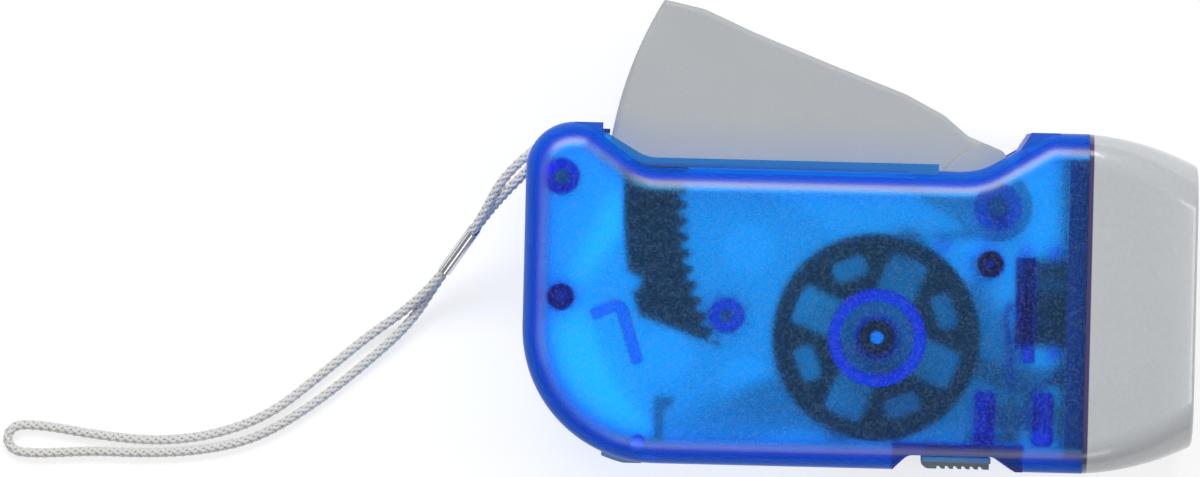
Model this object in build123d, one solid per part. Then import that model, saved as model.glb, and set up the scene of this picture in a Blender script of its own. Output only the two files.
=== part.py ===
from build123d import *
import math
import os

# Squeeze dynamo flashlight, lying on its flat back shell as in a flat lay.
# Millimetres. The origin lies on the resting face, under the flywheel spindle.
# +X points to the lens, +Y to the squeeze lever, +Z out of the front shell.

# Gear train, which sets where the axle and the lever pivot stand
RACK_TEETH = 122
PINION_TEETH = 8
RACK_MODULE = 0.8
WHEEL_TEETH = 68
CLUTCH_TEETH = 11
WHEEL_MODULE = 0.6
PRESSURE = math.radians(20)
AXLE_DEG = 172.9
SWING_DEG = 23.2
SQUEEZE_DEG = 20
BACKLASH = 0.16
FLANK_STEPS = 3
RACK_TIP_SHARE = 0.45
PINION_TIP_SHARE = 1.0
WHEEL_TIP_SHARE = 0.7
CLUTCH_TIP_SHARE = 1.0
TOOTH_CLEARANCE = 0.15
RACK_PITCH_R = RACK_MODULE * RACK_TEETH / 2
PINION_PITCH_R = RACK_MODULE * PINION_TEETH / 2
WHEEL_PITCH_R = WHEEL_MODULE * WHEEL_TEETH / 2
CLUTCH_PITCH_R = WHEEL_MODULE * CLUTCH_TEETH / 2
SWING = RACK_PITCH_R - PINION_PITCH_R
TRAIN = WHEEL_PITCH_R + CLUTCH_PITCH_R
RACK_TIP_R = RACK_PITCH_R - RACK_TIP_SHARE * RACK_MODULE
PINION_TIP_R = PINION_PITCH_R + PINION_TIP_SHARE * RACK_MODULE
PINION_ROOT_R = RACK_TIP_R - SWING - TOOTH_CLEARANCE
RACK_ROOT_R = SWING + PINION_TIP_R + TOOTH_CLEARANCE
WHEEL_TIP_R = WHEEL_PITCH_R + WHEEL_TIP_SHARE * WHEEL_MODULE
CLUTCH_TIP_R = CLUTCH_PITCH_R + CLUTCH_TIP_SHARE * WHEEL_MODULE
CLUTCH_ROOT_R = TRAIN - WHEEL_TIP_R - TOOTH_CLEARANCE
WHEEL_ROOT_R = TRAIN - CLUTCH_TIP_R - TOOTH_CLEARANCE

# Clearances
RUNNING = 0.05
SLIP = 0.3
FIT = 0.02
OVERRUN = 12.0

# Housing
THICKNESS = 34.0
WALL = 2.0
SHOULDER = 5.0
TAIL_SPACE = 12.5
HEAD_SPACE = 14.1
BELLY_SPACE = 0.6
TOP_RISE = 11.7
RIM_RISE = 6.4
DIP_RISE = 5.35
BELLY_CORNER = 21.0
TAIL_CORNER = 7.5
CROWN_CORNER = 6.0
DIP_CORNER = 10.0
HUMP_FOOT = 55.0
HUMP_CREST = 64.0
HEAD_FOOT = 2.9
HEAD_CREST = 7.6
SEAM = THICKNESS / 2
FRONT_IN = THICKNESS - WALL

# Lever, its end arc is centred on the pivot
LEVER_REACH = 61.3
LEVER_WIDTH = 21.2
LEVER_WALL = 2.0
LEVER_HUB_WIDTH = 22.0
LEVER_HUB_R = 10.0
LEVER_EYE_R = 5.6
LEVER_BEND = 6.0
LEVER_CORNER = 1.2
LEVER_EDGE = 0.8
LEVER_SLEEVE_R = 3.3
LEVER_END_DEG = 6.5
STOP_DEPTH = 2.0
STOP_DEG = 2.0
LEVER_TOP_SHARES = (
    (-1.04, 0.547), (-0.758, 0.487), (-0.632, 0.431), (-0.418, 0.348), (-0.240, 0.282),
    (-0.141, 0.231), (-0.079, 0.179), (0.010, 0.143), (0.029, 0.117), (0.060, 0.060),
)
LEVER_UNDER_SHARES = ((-0.050, -0.050), (-0.170, 0.012), (-0.225, 0.075), (-0.900, 0.080), (-1.04, 0.104))
LEVER_HOLLOW_SHARE = 0.2
LEVER_LOW = SEAM - LEVER_WIDTH / 2
LEVER_HIGH = SEAM + LEVER_WIDTH / 2
LEVER_IN_LOW = LEVER_LOW + LEVER_WALL
LEVER_IN_HIGH = LEVER_HIGH - LEVER_WALL
HUB_LOW = SEAM - LEVER_HUB_WIDTH / 2
HUB_HIGH = SEAM + LEVER_HUB_WIDTH / 2

# Slot that the lever passes through, with its raised lip, hump roof and head roof
SLOT_LOW = HUB_LOW - SLIP
SLOT_HIGH = HUB_HIGH + SLIP
SLOT_GAP = 0.6
SLOT_UNDERCUT = 1.5
LIP_WIDTH = 3.0
LIP_END = 9.35
ROOF_THICK = 2.2
TONGUE_REACH = 1.1
TONGUE_THICK = 0.7
TONGUE_DROP = 0.9
TONGUE_WIDTH = 8.0
ROOF_TIP = (2.5, 7.6)
ROOF_SLOPE = 2.6

# Rack on the lever
RACK_OUTER_R = 58.6
RACK_THICK = 5.0
RACK_PAD = 0.6
RACK_LOW = LEVER_IN_HIGH - RACK_PAD - RACK_THICK
RACK_TOP_DEG = 10.5
RACK_PAD_DEG = 11.0
RACK_PAD_INSET = 1.5
RACK_END_RISE = 3.1
RACK_SCREW_DEGS = (3.0, 8.0)
RACK_SCREW_HEAD_R = 1.5
RACK_SCREW_HEAD = 1.2
RACK_SCREW_R = 0.8
RACK_SCREW_BITE = 1.4

# Pivot pin and return spring
PIVOT_PIN_R = 1.57
PIVOT_BOSS_R = 3.6
SPRING_R = 4.6
SPRING_WIRE_R = 0.45
SPRING_TURNS = 5
SPRING_STEPS = 4
SPRING_CHECKS = 24
SPRING_PITCH = 1.4
SPRING_LIFT = 2.0
SPRING_ARM_DEG = 150
SPRING_ARM = 13.5
SPRING_FOOT = 9.5
ANCHOR_R = 1.2
ANCHOR_INSET = 1.6
SPRING_LOW = LEVER_IN_LOW + SPRING_LIFT

# Wheel axle and double gear
AXLE_R = 1.0
AXLE_BOSS_R = 2.7
WHEEL_BEHIND = 0.5
WHEEL_LOW = SEAM - WHEEL_BEHIND
WHEEL_THICK = 3.0
WHEEL_WEB_CUT = 1.0
WHEEL_RIM_IN_R = 17.6
WHEEL_HUB_R = 4.6
WHEEL_HOLES = 5
WHEEL_HOLE_R = 4.2
PINION_TOP_GAP = 0.5

# Flywheel and what turns with it
FLYWHEEL_R = 16.35
FLYWHEEL_GAP = 1.0
FLYWHEEL_LOW = WHEEL_LOW + WHEEL_THICK + FLYWHEEL_GAP
FLYWHEEL_THICK = 5.0
FLYWHEEL_RIM = 2.85
FLYWHEEL_RIM_R = FLYWHEEL_R - FLYWHEEL_RIM
FLYWHEEL_WEB_CUT = 1.0
SLOT_COUNT = 4
FLY_SLOT_DEG = 67.1
FLY_SLOT_SHARE = 0.373
FLY_SLOT_WIDTH = FLYWHEEL_R * FLY_SLOT_SHARE
WINDOW_DEG = 112.1
WINDOW_INSET = 0.5
WINDOW_LONG = 3.1
WINDOW_OUT_R = FLYWHEEL_RIM_R - WINDOW_INSET
WINDOW_IN_R = WINDOW_OUT_R - WINDOW_LONG
WINDOW_SHARE = 0.33
WINDOW_WIDTH = FLYWHEEL_R * WINDOW_SHARE
WINDOW_ROUND = 0.8
NYLON_R = 5.8
NYLON_TOP = 0.4
NYLON_BELOW = 0.5
POCKET_R = 5.0
POCKET_DEEP = 2.2
PAWLS = 3
PAWL_GAP = 0.2
PAWL_ROOT_DEG = 22
PAWL_LEAN_DEG = 20
RATCHET_TEETH = 8
RATCHET_TIP_R = 3.6
RATCHET_ROOT_R = 3.0
RATCHET_TALL = 2.1
SPINDLE_R = 1.0
BUSH_R = 2.8
FRONT_BOSS_R = 3.4
FRONT_BOSS_GAP = 0.8
FRONT_BOSS_LOW = FLYWHEEL_LOW + FLYWHEEL_THICK + FRONT_BOSS_GAP
BUSH_COVER = 1.2
BUSH_TALL = FRONT_IN - FRONT_BOSS_LOW - BUSH_COVER
BUSH_END_GAP = 0.6
RING_IN_R = 5.8
RING_OUT_R = 7.6
RING_TALL = 1.5
BACK_BUSH_TALL = 2.2
WASHER_R = 2.4
WASHER_THICK = 0.5

# Generator stator on the back shell
STATOR_R = 13.3
STATOR_SEAT = 2.8
STATOR_GAP = 1.3
STATOR_LOW = WALL + STATOR_SEAT
STATOR_TALL = WHEEL_LOW - STATOR_GAP - STATOR_LOW
PLATE_THICK = 1.0
MAGNET_R = 5.9
MAGNET_GAP = 0.5
MAGNET_SHORT = 2.4
MAGNET_TALL = STATOR_TALL - MAGNET_SHORT
CLAW_COUNT = 4
CLAW_THICK = 0.9
CLAW_WIDE = 3.0
BOBBIN_WALL = 0.8
BOBBIN_GAP = 0.15
SEAT_RING_R = 10.0
EAR_R = 2.8
EAR_OUT = 15.2
EAR_DEGS = (70, 250)
EAR_SCREW_R = 1.0
EAR_SCREW_HEAD_R = 1.9
EAR_SCREW_HEAD = 1.2
EAR_SCREW_BITE = 1.6

# Screw posts, strap pillar and small ribs, their places from the tail and the belly or the crown
TAIL_POST = (5.9, 25.7)
HEAD_POST_GAP = 2.63
HEAD_POST_DEG = 34.2
POST_R = 2.1
POST_FOOT_R = 3.2
POST_FOOT = 4.0
SHELL_SCREW_R = 0.7
SHELL_SCREW_HEAD_R = 1.9
SHELL_SCREW_HEAD = 1.6
SHELL_SCREW_SUNK = 1.8
SHELL_SCREW_SHORT = 9.0
SHELL_SCREW_TIP = THICKNESS - SHELL_SCREW_SHORT
CROSS_LONG_SHARE = 1.6
CROSS_WIDE_SHARE = 0.33
PILLAR = (5.6, -8.6)
PILLAR_R = 2.74
STRAP_PIN_R = 1.2
STRAP_PIN_SUNK = 3.0
PEG = (18.4, 3.4)
PEG_R = 1.1
RIB_WIDE = 1.5
RIB_CORNER = 1.2
RIB_TALL = 6.0
GUIDE_RIB = ((10.9, 23.0), (15.2, 25.0), (18.1, 15.7))

# Lamp switch in the belly
SCOOP_LEFT = 2.8
SCOOP_RIGHT = 23.2
SCOOP_DEPTH = 2.3
SCOOP_FLAT_LEFT = 5.2
SCOOP_FLAT_RIGHT = 18.6
SCOOP_FLOOR = 1.9
SCOOP_GAP = 0.18
SWITCH_TRAVEL = 2.0
KNOB_LEFT = 7.8
KNOB_PAD_RIGHT = 18.2
KNOB_BASE_RIGHT = 18.4
KNOB_BASE_THICK = 0.9
KNOB_BASE_WIDE = 16.0
KNOB_PAD_WIDE = 13.0
KNOB_PAD_SUNK = 0.15
KNOB_GRIPS = 6
GRIP_DEEP = 0.4
GRIP_WIDE = 0.8
GRIP_PITCH = 1.3
STEM_LEFT = 14.6
STEM_RIGHT = 17.6
STEM_BEHIND = 3.6
STEM_WIDE = 3.2
STEM_LOW = SEAM - STEM_BEHIND
STEM_HIGH = STEM_LOW + STEM_WIDE
CARRIAGE_RIGHT = 23.4
CARRIAGE_THICK = 0.9
FORK_WALL = 0.7
CASE_LEFT = 17.6
CASE_RIGHT = 25.6
CASE_UP = 6.4
CASE_TALL = 3.9
CASE_BEHIND = 4.8
CASE_LONG = 9.8
CASE_EDGE = 0.2
CASE_LOW = SEAM - CASE_BEHIND
CASE_HIGH = CASE_LOW + CASE_LONG
NIB_LEFT = 20.6
NIB_WIDE = 1.8
TERMINALS = 3
TERMINAL_PITCH = 2.5
TERMINAL_TALL = 1.6
TERMINAL_WIDE = 0.9
TERMINAL_THICK = 0.4
BRACKET_STEM = 2.1
BRACKET_REACH = 1.0
BRACKET_TALL = 8.2
BRACKET_ROUND = 0.7

# Lock slider in the belly, left of the wheel, its places from the tail
LOCK_IN = 12.8
LOCK_LONG = 6.3
LOCK_TRAVEL = 2.0
LOCK_WIDE = 10.0
LOCK_PROUD = 0.15
LOCK_STAND = 0.67
LOCK_PLATE_UP = 0.75
LOCK_PLATE = 0.85
LOCK_PLATE_WIDE = 14.0
LOCK_PLATE_IN = 17.0
HOOK_IN = 20.8
HOOK_WIDE = 1.7
HOOK_TALL = 10.5
HOOK_REACH = 3.1
HOOK_FRONT = 3.5
HOOK_THICK = 4.0
HOOK_LOW = SEAM + HOOK_FRONT

# Head: bezel, lens, reflector, board, lamps and cells
BEZEL_LONG = 17.3
BEZEL_WALL = 2.0
BEZEL_PLACE_SHARES = (0.0, 0.35, 0.70, 1.0)
BEZEL_SIZE_SHARES = (1.0, 0.971, 0.908, 0.826)
BEZEL_FRONT_CORNER = 7.5
BEZEL_EDGE = 1.0
SKIRT_LONG = 3.0
SKIRT_WALL = 1.3
SKIRT_FIT = 0.1
FLANGE = 1.0
FLANGE_LAP = 1.6
LENS_THICK = 1.5
LENS_GAP = 0.2
BOARD_THICK = 1.6
BOARD_BACK = 0.6
BOARD_END_ROOM = 10.1
BOARD_SIDE_ROOM = 9.0
LEDGE_THICK = 1.5
LEDGE_END = 2.5
LEDGE_SIDE = 3.0
BOARD_SCREW_IN = 1.2
BOARD_SCREW_R = 0.7
BOARD_SCREW_HEAD_R = 1.3
BOARD_SCREW_HEAD = 0.8
LAMPS = 3
LAMP_PITCH = 13.0
LAMP_R = 2.5
LAMP_RIM_R = 2.9
LAMP_RIM = 1.0
LAMP_LONG = 8.6
LEG_R = 0.25
LEG_PITCH = 2.54
LEG_LONG = 1.8
REFLECTOR_PLATE = 1.6
CUP_LONG = 9.6
CUP_BACK_R = 2.9
CUP_FRONT_R = 5.7
CUP_WALL = 0.6
CUP_BULGE_SHARE = 0.67
CUP_BULGE_PLACE_SHARE = 0.55
CELLS = 3
CELL_R = 5.8
CELL_THICK = 2.95
CELL_CAP_R = 4.9
CELL_CAP = 0.35
CELL_DROP = 0.05
SLEEVE_BACK = 10.2
SLEEVE_R = 7.0
SLEEVE_GAP = 0.1
CONTACT_THICK = 0.4
CONTACT_R = 4.6
CONTACT_TAIL = 1.6
CRADLE_WIDE = 1.6
CRADLE_INSET = 0.6
CRADLE_GAP = 4.4
CRADLE_DROP = 3.0
CELL_RIB_BACK = 10.9
CELL_RIB_WIDE = 2.9
CELL_RIB_TAIL = 1.6
CELL_RIB_DROP = 2.3

# Wires
LEAD_R = 0.55

# Strap: a limp braided cord, its route chosen by hand from the tail slot and back, for a casing
# with its tail, top and seam at ROUTE_FITS. It moves with them.
STRAP_R = 0.8
STRAP_SLOT_DOWN = 9.3
STRAP_SLOT_TALL = 6.2
STRAP_SLOT_WIDE = 2.6
STRAP_ROUTE = [
    (-54.95, 27.5, 17.0), (-58.9, 24.3, 16.2), (-62.5, 16.7, 11.33), (-69.27, 6.95, 5.33),
    (-74.2, 2.2, 2.4), (-80.0, -1.96, 0.9), (-87.1, -8.1, 0.82), (-95.1, -14.75, 0.82),
    (-103.85, -18.2, 0.82), (-113.1, -19.45, 0.82), (-123.2, -18.55, 0.82), (-129.0, -17.6, 0.82),
    (-132.8, -17.25, 0.82), (-135.7, -17.4, 0.82), (-136.95, -19.4, 0.82), (-135.75, -21.45, 0.82),
    (-132.9, -21.75, 0.82), (-129.0, -21.6, 0.82), (-123.0, -21.15, 0.82), (-114.5, -21.35, 0.82),
    (-105.5, -20.65, 0.82), (-97.0, -18.5, 0.82), (-88.8, -13.3, 0.82), (-81.0, -6.95, 0.82),
    (-73.3, 0.2, 1.4), (-68.85, 7.55, 3.87), (-62.08, 17.3, 9.87), (-58.2, 21.9, 15.7), (-55.2, 24.9, 17.0),
]
ARC_SHARE = 0.45
ROUTE_FITS = (-55.406, 32.593, 17.0)
BIGHT_ROUTE = [
    (-53.72, 28.49, 17.25), (-47.71, 25.25, 17.0), (-47.71, 21.9, 17.0), (-50.78, 21.9, 17.0),
    (-54.19, 25.91, 17.44),
]
BIGHT_BEND = 2.05
BIGHT_EDGE = 1.2
FERRULE_LONG = 8.4
FERRULE_WALL = 0.2
FERRULE_GAP = 0.06


def polar(radius, degrees, about=(0, 0)):
    angle = math.radians(degrees)
    return (about[0] + radius * math.cos(angle), about[1] + radius * math.sin(angle))


AXLE = polar(TRAIN, AXLE_DEG)
PIVOT = polar(SWING, SWING_DEG, AXLE)
TAIL_X = PIVOT[0] - LEVER_REACH - TAIL_SPACE
HEAD_X = PIVOT[0] + HEAD_SPACE
WHEEL_BELLY_Y = AXLE[1] - WHEEL_TIP_R - BELLY_SPACE - WALL
FLYWHEEL_BELLY_Y = -math.sqrt(FLYWHEEL_R ** 2 - SCOOP_LEFT ** 2) - SCOOP_GAP - SCOOP_FLOOR - SCOOP_DEPTH
BELLY_Y = min(WHEEL_BELLY_Y, FLYWHEEL_BELLY_Y)
BELLY_IN = BELLY_Y + WALL
TOP_Y = PIVOT[1] + TOP_RISE
RIM_Y = PIVOT[1] + RIM_RISE
DIP_Y = PIVOT[1] + DIP_RISE
MIDDLE_Y = (TOP_Y + BELLY_Y) / 2
SLOT_TAIL_X = PIVOT[0] - LEVER_REACH - SLOT_GAP
HEAD_TALL = TOP_Y - BELLY_Y
RIB_LOW = FRONT_IN - RIB_TALL
CASE_BOTTOM = BELLY_Y + CASE_UP
CASE_TOP = CASE_BOTTOM + CASE_TALL
LOCK_LEFT = TAIL_X + LOCK_IN
LOCK_PLATE_LEFT = TAIL_X + LOCK_PLATE_IN
HOOK_LEFT = TAIL_X + HOOK_IN
HOOK_TIP = HOOK_LEFT + HOOK_REACH
HOOK_TOP = BELLY_Y + HOOK_TALL
BOARD_TALL = HEAD_TALL - BOARD_END_ROOM
BOARD_WIDE = THICKNESS - BOARD_SIDE_ROOM
CELL_Y = MIDDLE_Y - CELL_DROP
SLEEVE_LEFT = HEAD_X - SLEEVE_BACK
CELL_RIB_LEFT = HEAD_X - CELL_RIB_BACK
CRADLE_HIGH = SEAM - CRADLE_DROP
STRAP_SLOT_BOTTOM = TOP_Y - STRAP_SLOT_DOWN
STRAP_SLOT_TOP = STRAP_SLOT_BOTTOM + STRAP_SLOT_TALL


# Plain solids by their limits
def disc(radius, low, high, at=(0, 0)):
    return Pos(at[0], at[1], low) * extrude(Circle(radius), high - low)


def ring(outer, inner, low, high, at=(0, 0)):
    return Pos(at[0], at[1], low) * extrude(Circle(outer) - Circle(inner), high - low)


def block(left, right, bottom, top, low, high):
    middle = ((left + right) / 2, (bottom + top) / 2, (low + high) / 2)
    return Pos(*middle) * Box(right - left, top - bottom, high - low)


def prism(outline, low, high):
    return Pos(0, 0, low) * extrude(outline, high - low)


def rod(radius, back, front, y, z):
    return Pos(back, y, z) * Rot(0, 90, 0) * extrude(Circle(radius), front - back)


def polygon(*points):
    return make_face(Polyline(*points, close=True))


def rounded(corners):
    points = [(x, y) for x, y, radius in corners]
    radii = [radius for x, y, radius in corners]
    return make_face(FilletPolyline(*points, radius=radii, close=True))


def turned(shape, degrees, about=PIVOT):
    return Pos(*about) * Rot(0, 0, degrees) * Pos(-about[0], -about[1]) * shape


def from_pivot(shares):
    return [(PIVOT[0] + x * LEVER_REACH, PIVOT[1] + y * LEVER_REACH) for x, y in shares]


def from_belly(place):
    return (TAIL_X + place[0], BELLY_Y + place[1])


def from_crown(place):
    return (TAIL_X + place[0], TOP_Y + place[1])


# Involute teeth
def involute(angle):
    return math.tan(angle) - angle


def half_tooth(radius, pitch_r, thickness):
    base = pitch_r * math.cos(PRESSURE)
    angle = math.acos(min(1, base / radius))
    return thickness / (2 * pitch_r) + involute(PRESSURE) - involute(angle)


def tooth(middle_deg, pitch_r, thickness, root, tip):
    radii = [root + (tip - root) * n / FLANK_STEPS for n in range(FLANK_STEPS + 1)]
    flank = [(r, math.degrees(half_tooth(r, pitch_r, thickness))) for r in radii]
    rising = [polar(r, middle_deg - half) for r, half in flank]
    falling = [polar(r, middle_deg + half) for r, half in reversed(flank)]
    return rising + falling


def gear_face(teeth, pitch_r, root, tip, first_deg):
    thickness = math.pi * pitch_r / teeth - BACKLASH / 2
    points = []
    for n in range(teeth):
        points += tooth(first_deg + n * 360 / teeth, pitch_r, thickness, root, tip)
    return polygon(*points)


# Housing
def casing_outline(rim):
    return rounded([
        (TAIL_X, BELLY_Y, BELLY_CORNER),
        (HEAD_X + OVERRUN, BELLY_Y, CROWN_CORNER),
        (HEAD_X + OVERRUN, TOP_Y, CROWN_CORNER),
        (PIVOT[0] + HEAD_CREST, TOP_Y, CROWN_CORNER),
        (PIVOT[0] - HEAD_FOOT, rim, DIP_CORNER),
        (PIVOT[0] - HUMP_FOOT, rim, CROWN_CORNER),
        (PIVOT[0] - HUMP_CREST, TOP_Y, CROWN_CORNER),
        (TAIL_X, TOP_Y, TAIL_CORNER),
    ])


def pillow(outline, low, high, radius):
    solid = prism(outline, low, high)
    layers = solid.faces().sort_by(Axis.Z)
    return fillet(layers[0].edges() + layers[-1].edges(), radius)


def cavity():
    return pillow(offset(casing_outline(DIP_Y), -WALL), WALL, FRONT_IN, SHOULDER - WALL)


def lip():
    outline = casing_outline(RIM_Y)
    end = PIVOT[0] - LIP_END
    bars = []
    for low, high in ((SLOT_LOW - LIP_WIDTH, SLOT_LOW), (SLOT_HIGH, SLOT_HIGH + LIP_WIDTH)):
        bars.append(prism(outline, low, high) & block(SLOT_TAIL_X, end, PIVOT[1], TOP_Y, low, high))
    return bars


def hump_roof():
    left = TAIL_X + TAIL_CORNER
    low = SLOT_LOW - WALL
    high = SLOT_HIGH + WALL
    roof = block(left, SLOT_TAIL_X, TOP_Y - ROOF_THICK, TOP_Y, low, high)
    tongue_top = TOP_Y - TONGUE_DROP
    end = SLOT_TAIL_X + TONGUE_REACH
    half = TONGUE_WIDTH / 2
    return roof + block(left, end, tongue_top - TONGUE_THICK, tongue_top, SEAM - half, SEAM + half)


def head_roof():
    tip = (PIVOT[0] + ROOF_TIP[0], PIVOT[1] + ROOF_TIP[1])
    crest = (tip[0] + ROOF_SLOPE, TOP_Y)
    right = PIVOT[0] + HEAD_CREST + WALL
    under = TOP_Y - ROOF_THICK
    outline = polygon(tip, crest, (right, TOP_Y), (right, under), (crest[0] + WALL / 2, under),
                      (tip[0] + WALL, tip[1] - WALL / 4))
    return prism(outline, SLOT_LOW - WALL, SLOT_HIGH + WALL)


def scoop():
    floor = BELLY_Y + SCOOP_DEPTH
    below = BELLY_Y - OVERRUN
    outline = rounded([
        (SCOOP_LEFT - SCOOP_DEPTH, BELLY_Y - SCOOP_DEPTH, 0), (SCOOP_FLAT_LEFT, floor, WALL),
        (SCOOP_FLAT_RIGHT, floor, SCOOP_DEPTH), (SCOOP_RIGHT + SCOOP_DEPTH, BELLY_Y - SCOOP_DEPTH, 0),
        (SCOOP_RIGHT, below, 0), (SCOOP_LEFT, below, 0),
    ])
    return prism(outline, -OVERRUN, THICKNESS + OVERRUN)


def scoop_floor():
    top = BELLY_Y + SCOOP_DEPTH + SCOOP_FLOOR
    return block(SCOOP_LEFT, SCOOP_RIGHT, BELLY_Y, top, WALL, FRONT_IN)


def belly_windows():
    stem = block(STEM_LEFT - SWITCH_TRAVEL - SLIP, STEM_RIGHT + SLIP, BELLY_Y, BELLY_Y + OVERRUN / 2,
                 STEM_LOW - SLIP, STEM_HIGH + SLIP)
    half = LOCK_WIDE / 2 + SLIP
    lock = block(LOCK_LEFT - SLIP, LOCK_LEFT + LOCK_LONG + LOCK_TRAVEL + SLIP, BELLY_Y - WALL,
                 BELLY_Y + OVERRUN / 3, SEAM - half, SEAM + half)
    return [stem, lock]


def casing():
    hollow = cavity()
    body = pillow(casing_outline(DIP_Y), 0, THICKNESS, SHOULDER) + lip() - hollow
    body += scoop_floor() & prism(casing_outline(DIP_Y), 0, THICKNESS)
    body -= scoop()
    slot_right = PIVOT[0] + HEAD_CREST
    slot_floor = DIP_Y - WALL - FIT
    body -= block(SLOT_TAIL_X - SLOT_UNDERCUT, slot_right, slot_floor, TOP_Y + OVERRUN, SLOT_LOW, SLOT_HIGH)
    body = body + hump_roof() + head_roof()
    body -= belly_windows()
    slot_half = STRAP_SLOT_WIDE / 2
    body -= block(TAIL_X - WALL, TAIL_X + TAIL_CORNER / 2, STRAP_SLOT_BOTTOM, STRAP_SLOT_TOP,
                  SEAM - slot_half, SEAM + slot_half)
    beyond = block(HEAD_X, HEAD_X + 2 * OVERRUN, BELLY_Y - WALL, TOP_Y + WALL, -WALL, THICKNESS + WALL)
    return body - beyond


def screw_posts():
    return [from_belly(TAIL_POST), polar(FLYWHEEL_R + HEAD_POST_GAP + POST_R, HEAD_POST_DEG)]


def switch_brackets():
    middle = (CASE_TOP + CASE_BOTTOM) / 2
    low = middle - BRACKET_TALL / 2
    high = middle + BRACKET_TALL / 2
    gap_low = CASE_BOTTOM - SLIP
    gap_high = CASE_TOP + SLIP
    ribs = []
    for edge, way in ((CASE_LEFT, -1), (CASE_RIGHT, 1)):
        near = edge - way * BRACKET_REACH
        back = edge + way * FIT
        far = edge + way * BRACKET_STEM
        left, right = sorted((near, far))
        rib = block(left, right, low, high, SEAM + SLIP, FRONT_IN)
        rib = fillet(rib.edges() | Axis.Z, BRACKET_ROUND)
        left, right = sorted((near - way * WALL, back))
        ribs.append(rib - block(left, right, gap_low, gap_high, SEAM, CASE_HIGH + FIT))
    return ribs


def front_shell():
    shell = casing() & block(TAIL_X - WALL, HEAD_X, BELLY_Y - WALL, TOP_Y + WALL, SEAM, THICKNESS)
    adds = [disc(FRONT_BOSS_R, FRONT_BOSS_LOW, FRONT_IN)]
    adds.append(ring(RING_OUT_R, RING_IN_R, FRONT_IN - RING_TALL, FRONT_IN))
    adds.append(disc(AXLE_BOSS_R, pinion_top() + SLIP, FRONT_IN, AXLE))
    adds.append(disc(PIVOT_BOSS_R, HUB_HIGH + SLIP, FRONT_IN, PIVOT))
    adds.append(disc(PILLAR_R, SEAM + STRAP_SLOT_WIDE / 2, FRONT_IN, from_crown(PILLAR)))
    adds.append(disc(PEG_R, SEAM + LOCK_PLATE_WIDE / 2 + WALL / 2, FRONT_IN, from_belly(PEG)))
    for place in screw_posts():
        adds.append(disc(POST_R, SEAM, FRONT_IN, place))
    guide = trace(FilletPolyline(*[from_belly(p) for p in GUIDE_RIB], radius=RIB_CORNER), RIB_WIDE)
    adds.append(prism(guide, RIB_LOW, FRONT_IN))
    bottom = CELL_Y - SLEEVE_R
    sleeve_top = SEAM + SLEEVE_R + SLIP
    right = CELL_RIB_LEFT + CELL_RIB_WIDE
    adds.append(block(CELL_RIB_LEFT, right, bottom, CELL_Y + SLEEVE_R, sleeve_top, FRONT_IN))
    adds.append(block(right - CELL_RIB_TAIL, right, bottom - CELL_RIB_DROP, bottom, sleeve_top, FRONT_IN))
    shell = shell + adds + switch_brackets()
    shell -= disc(BUSH_R + FIT, FRONT_BOSS_LOW - FIT, FRONT_BOSS_LOW + BUSH_TALL)
    shell -= disc(AXLE_R + FIT, RACK_LOW, FRONT_IN - WALL / 2, AXLE)
    shell -= disc(PIVOT_PIN_R + FIT, SEAM, FRONT_IN - WALL / 2, PIVOT)
    shell -= disc(STRAP_PIN_R + FIT, SEAM, THICKNESS - STRAP_PIN_SUNK, from_crown(PILLAR))
    for place in screw_posts():
        shell -= disc(SHELL_SCREW_R + FIT, SEAM - FIT, SHELL_SCREW_TIP + SHELL_SCREW_SUNK, place)
    return shell


def cradle():
    ribs = []
    for n in range(2):
        left = SLEEVE_LEFT + CRADLE_INSET + n * CRADLE_GAP
        wide = SLEEVE_R + WALL
        rib = block(left, left + CRADLE_WIDE, CELL_Y - wide, CELL_Y + wide, WALL, CRADLE_HIGH)
        ribs.append(rib - rod(SLEEVE_R + FIT, left - WALL, left + CRADLE_WIDE + WALL, CELL_Y, SEAM))
    return ribs


def spring_start():
    return (PIVOT[0], PIVOT[1] - SPRING_R)


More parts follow.
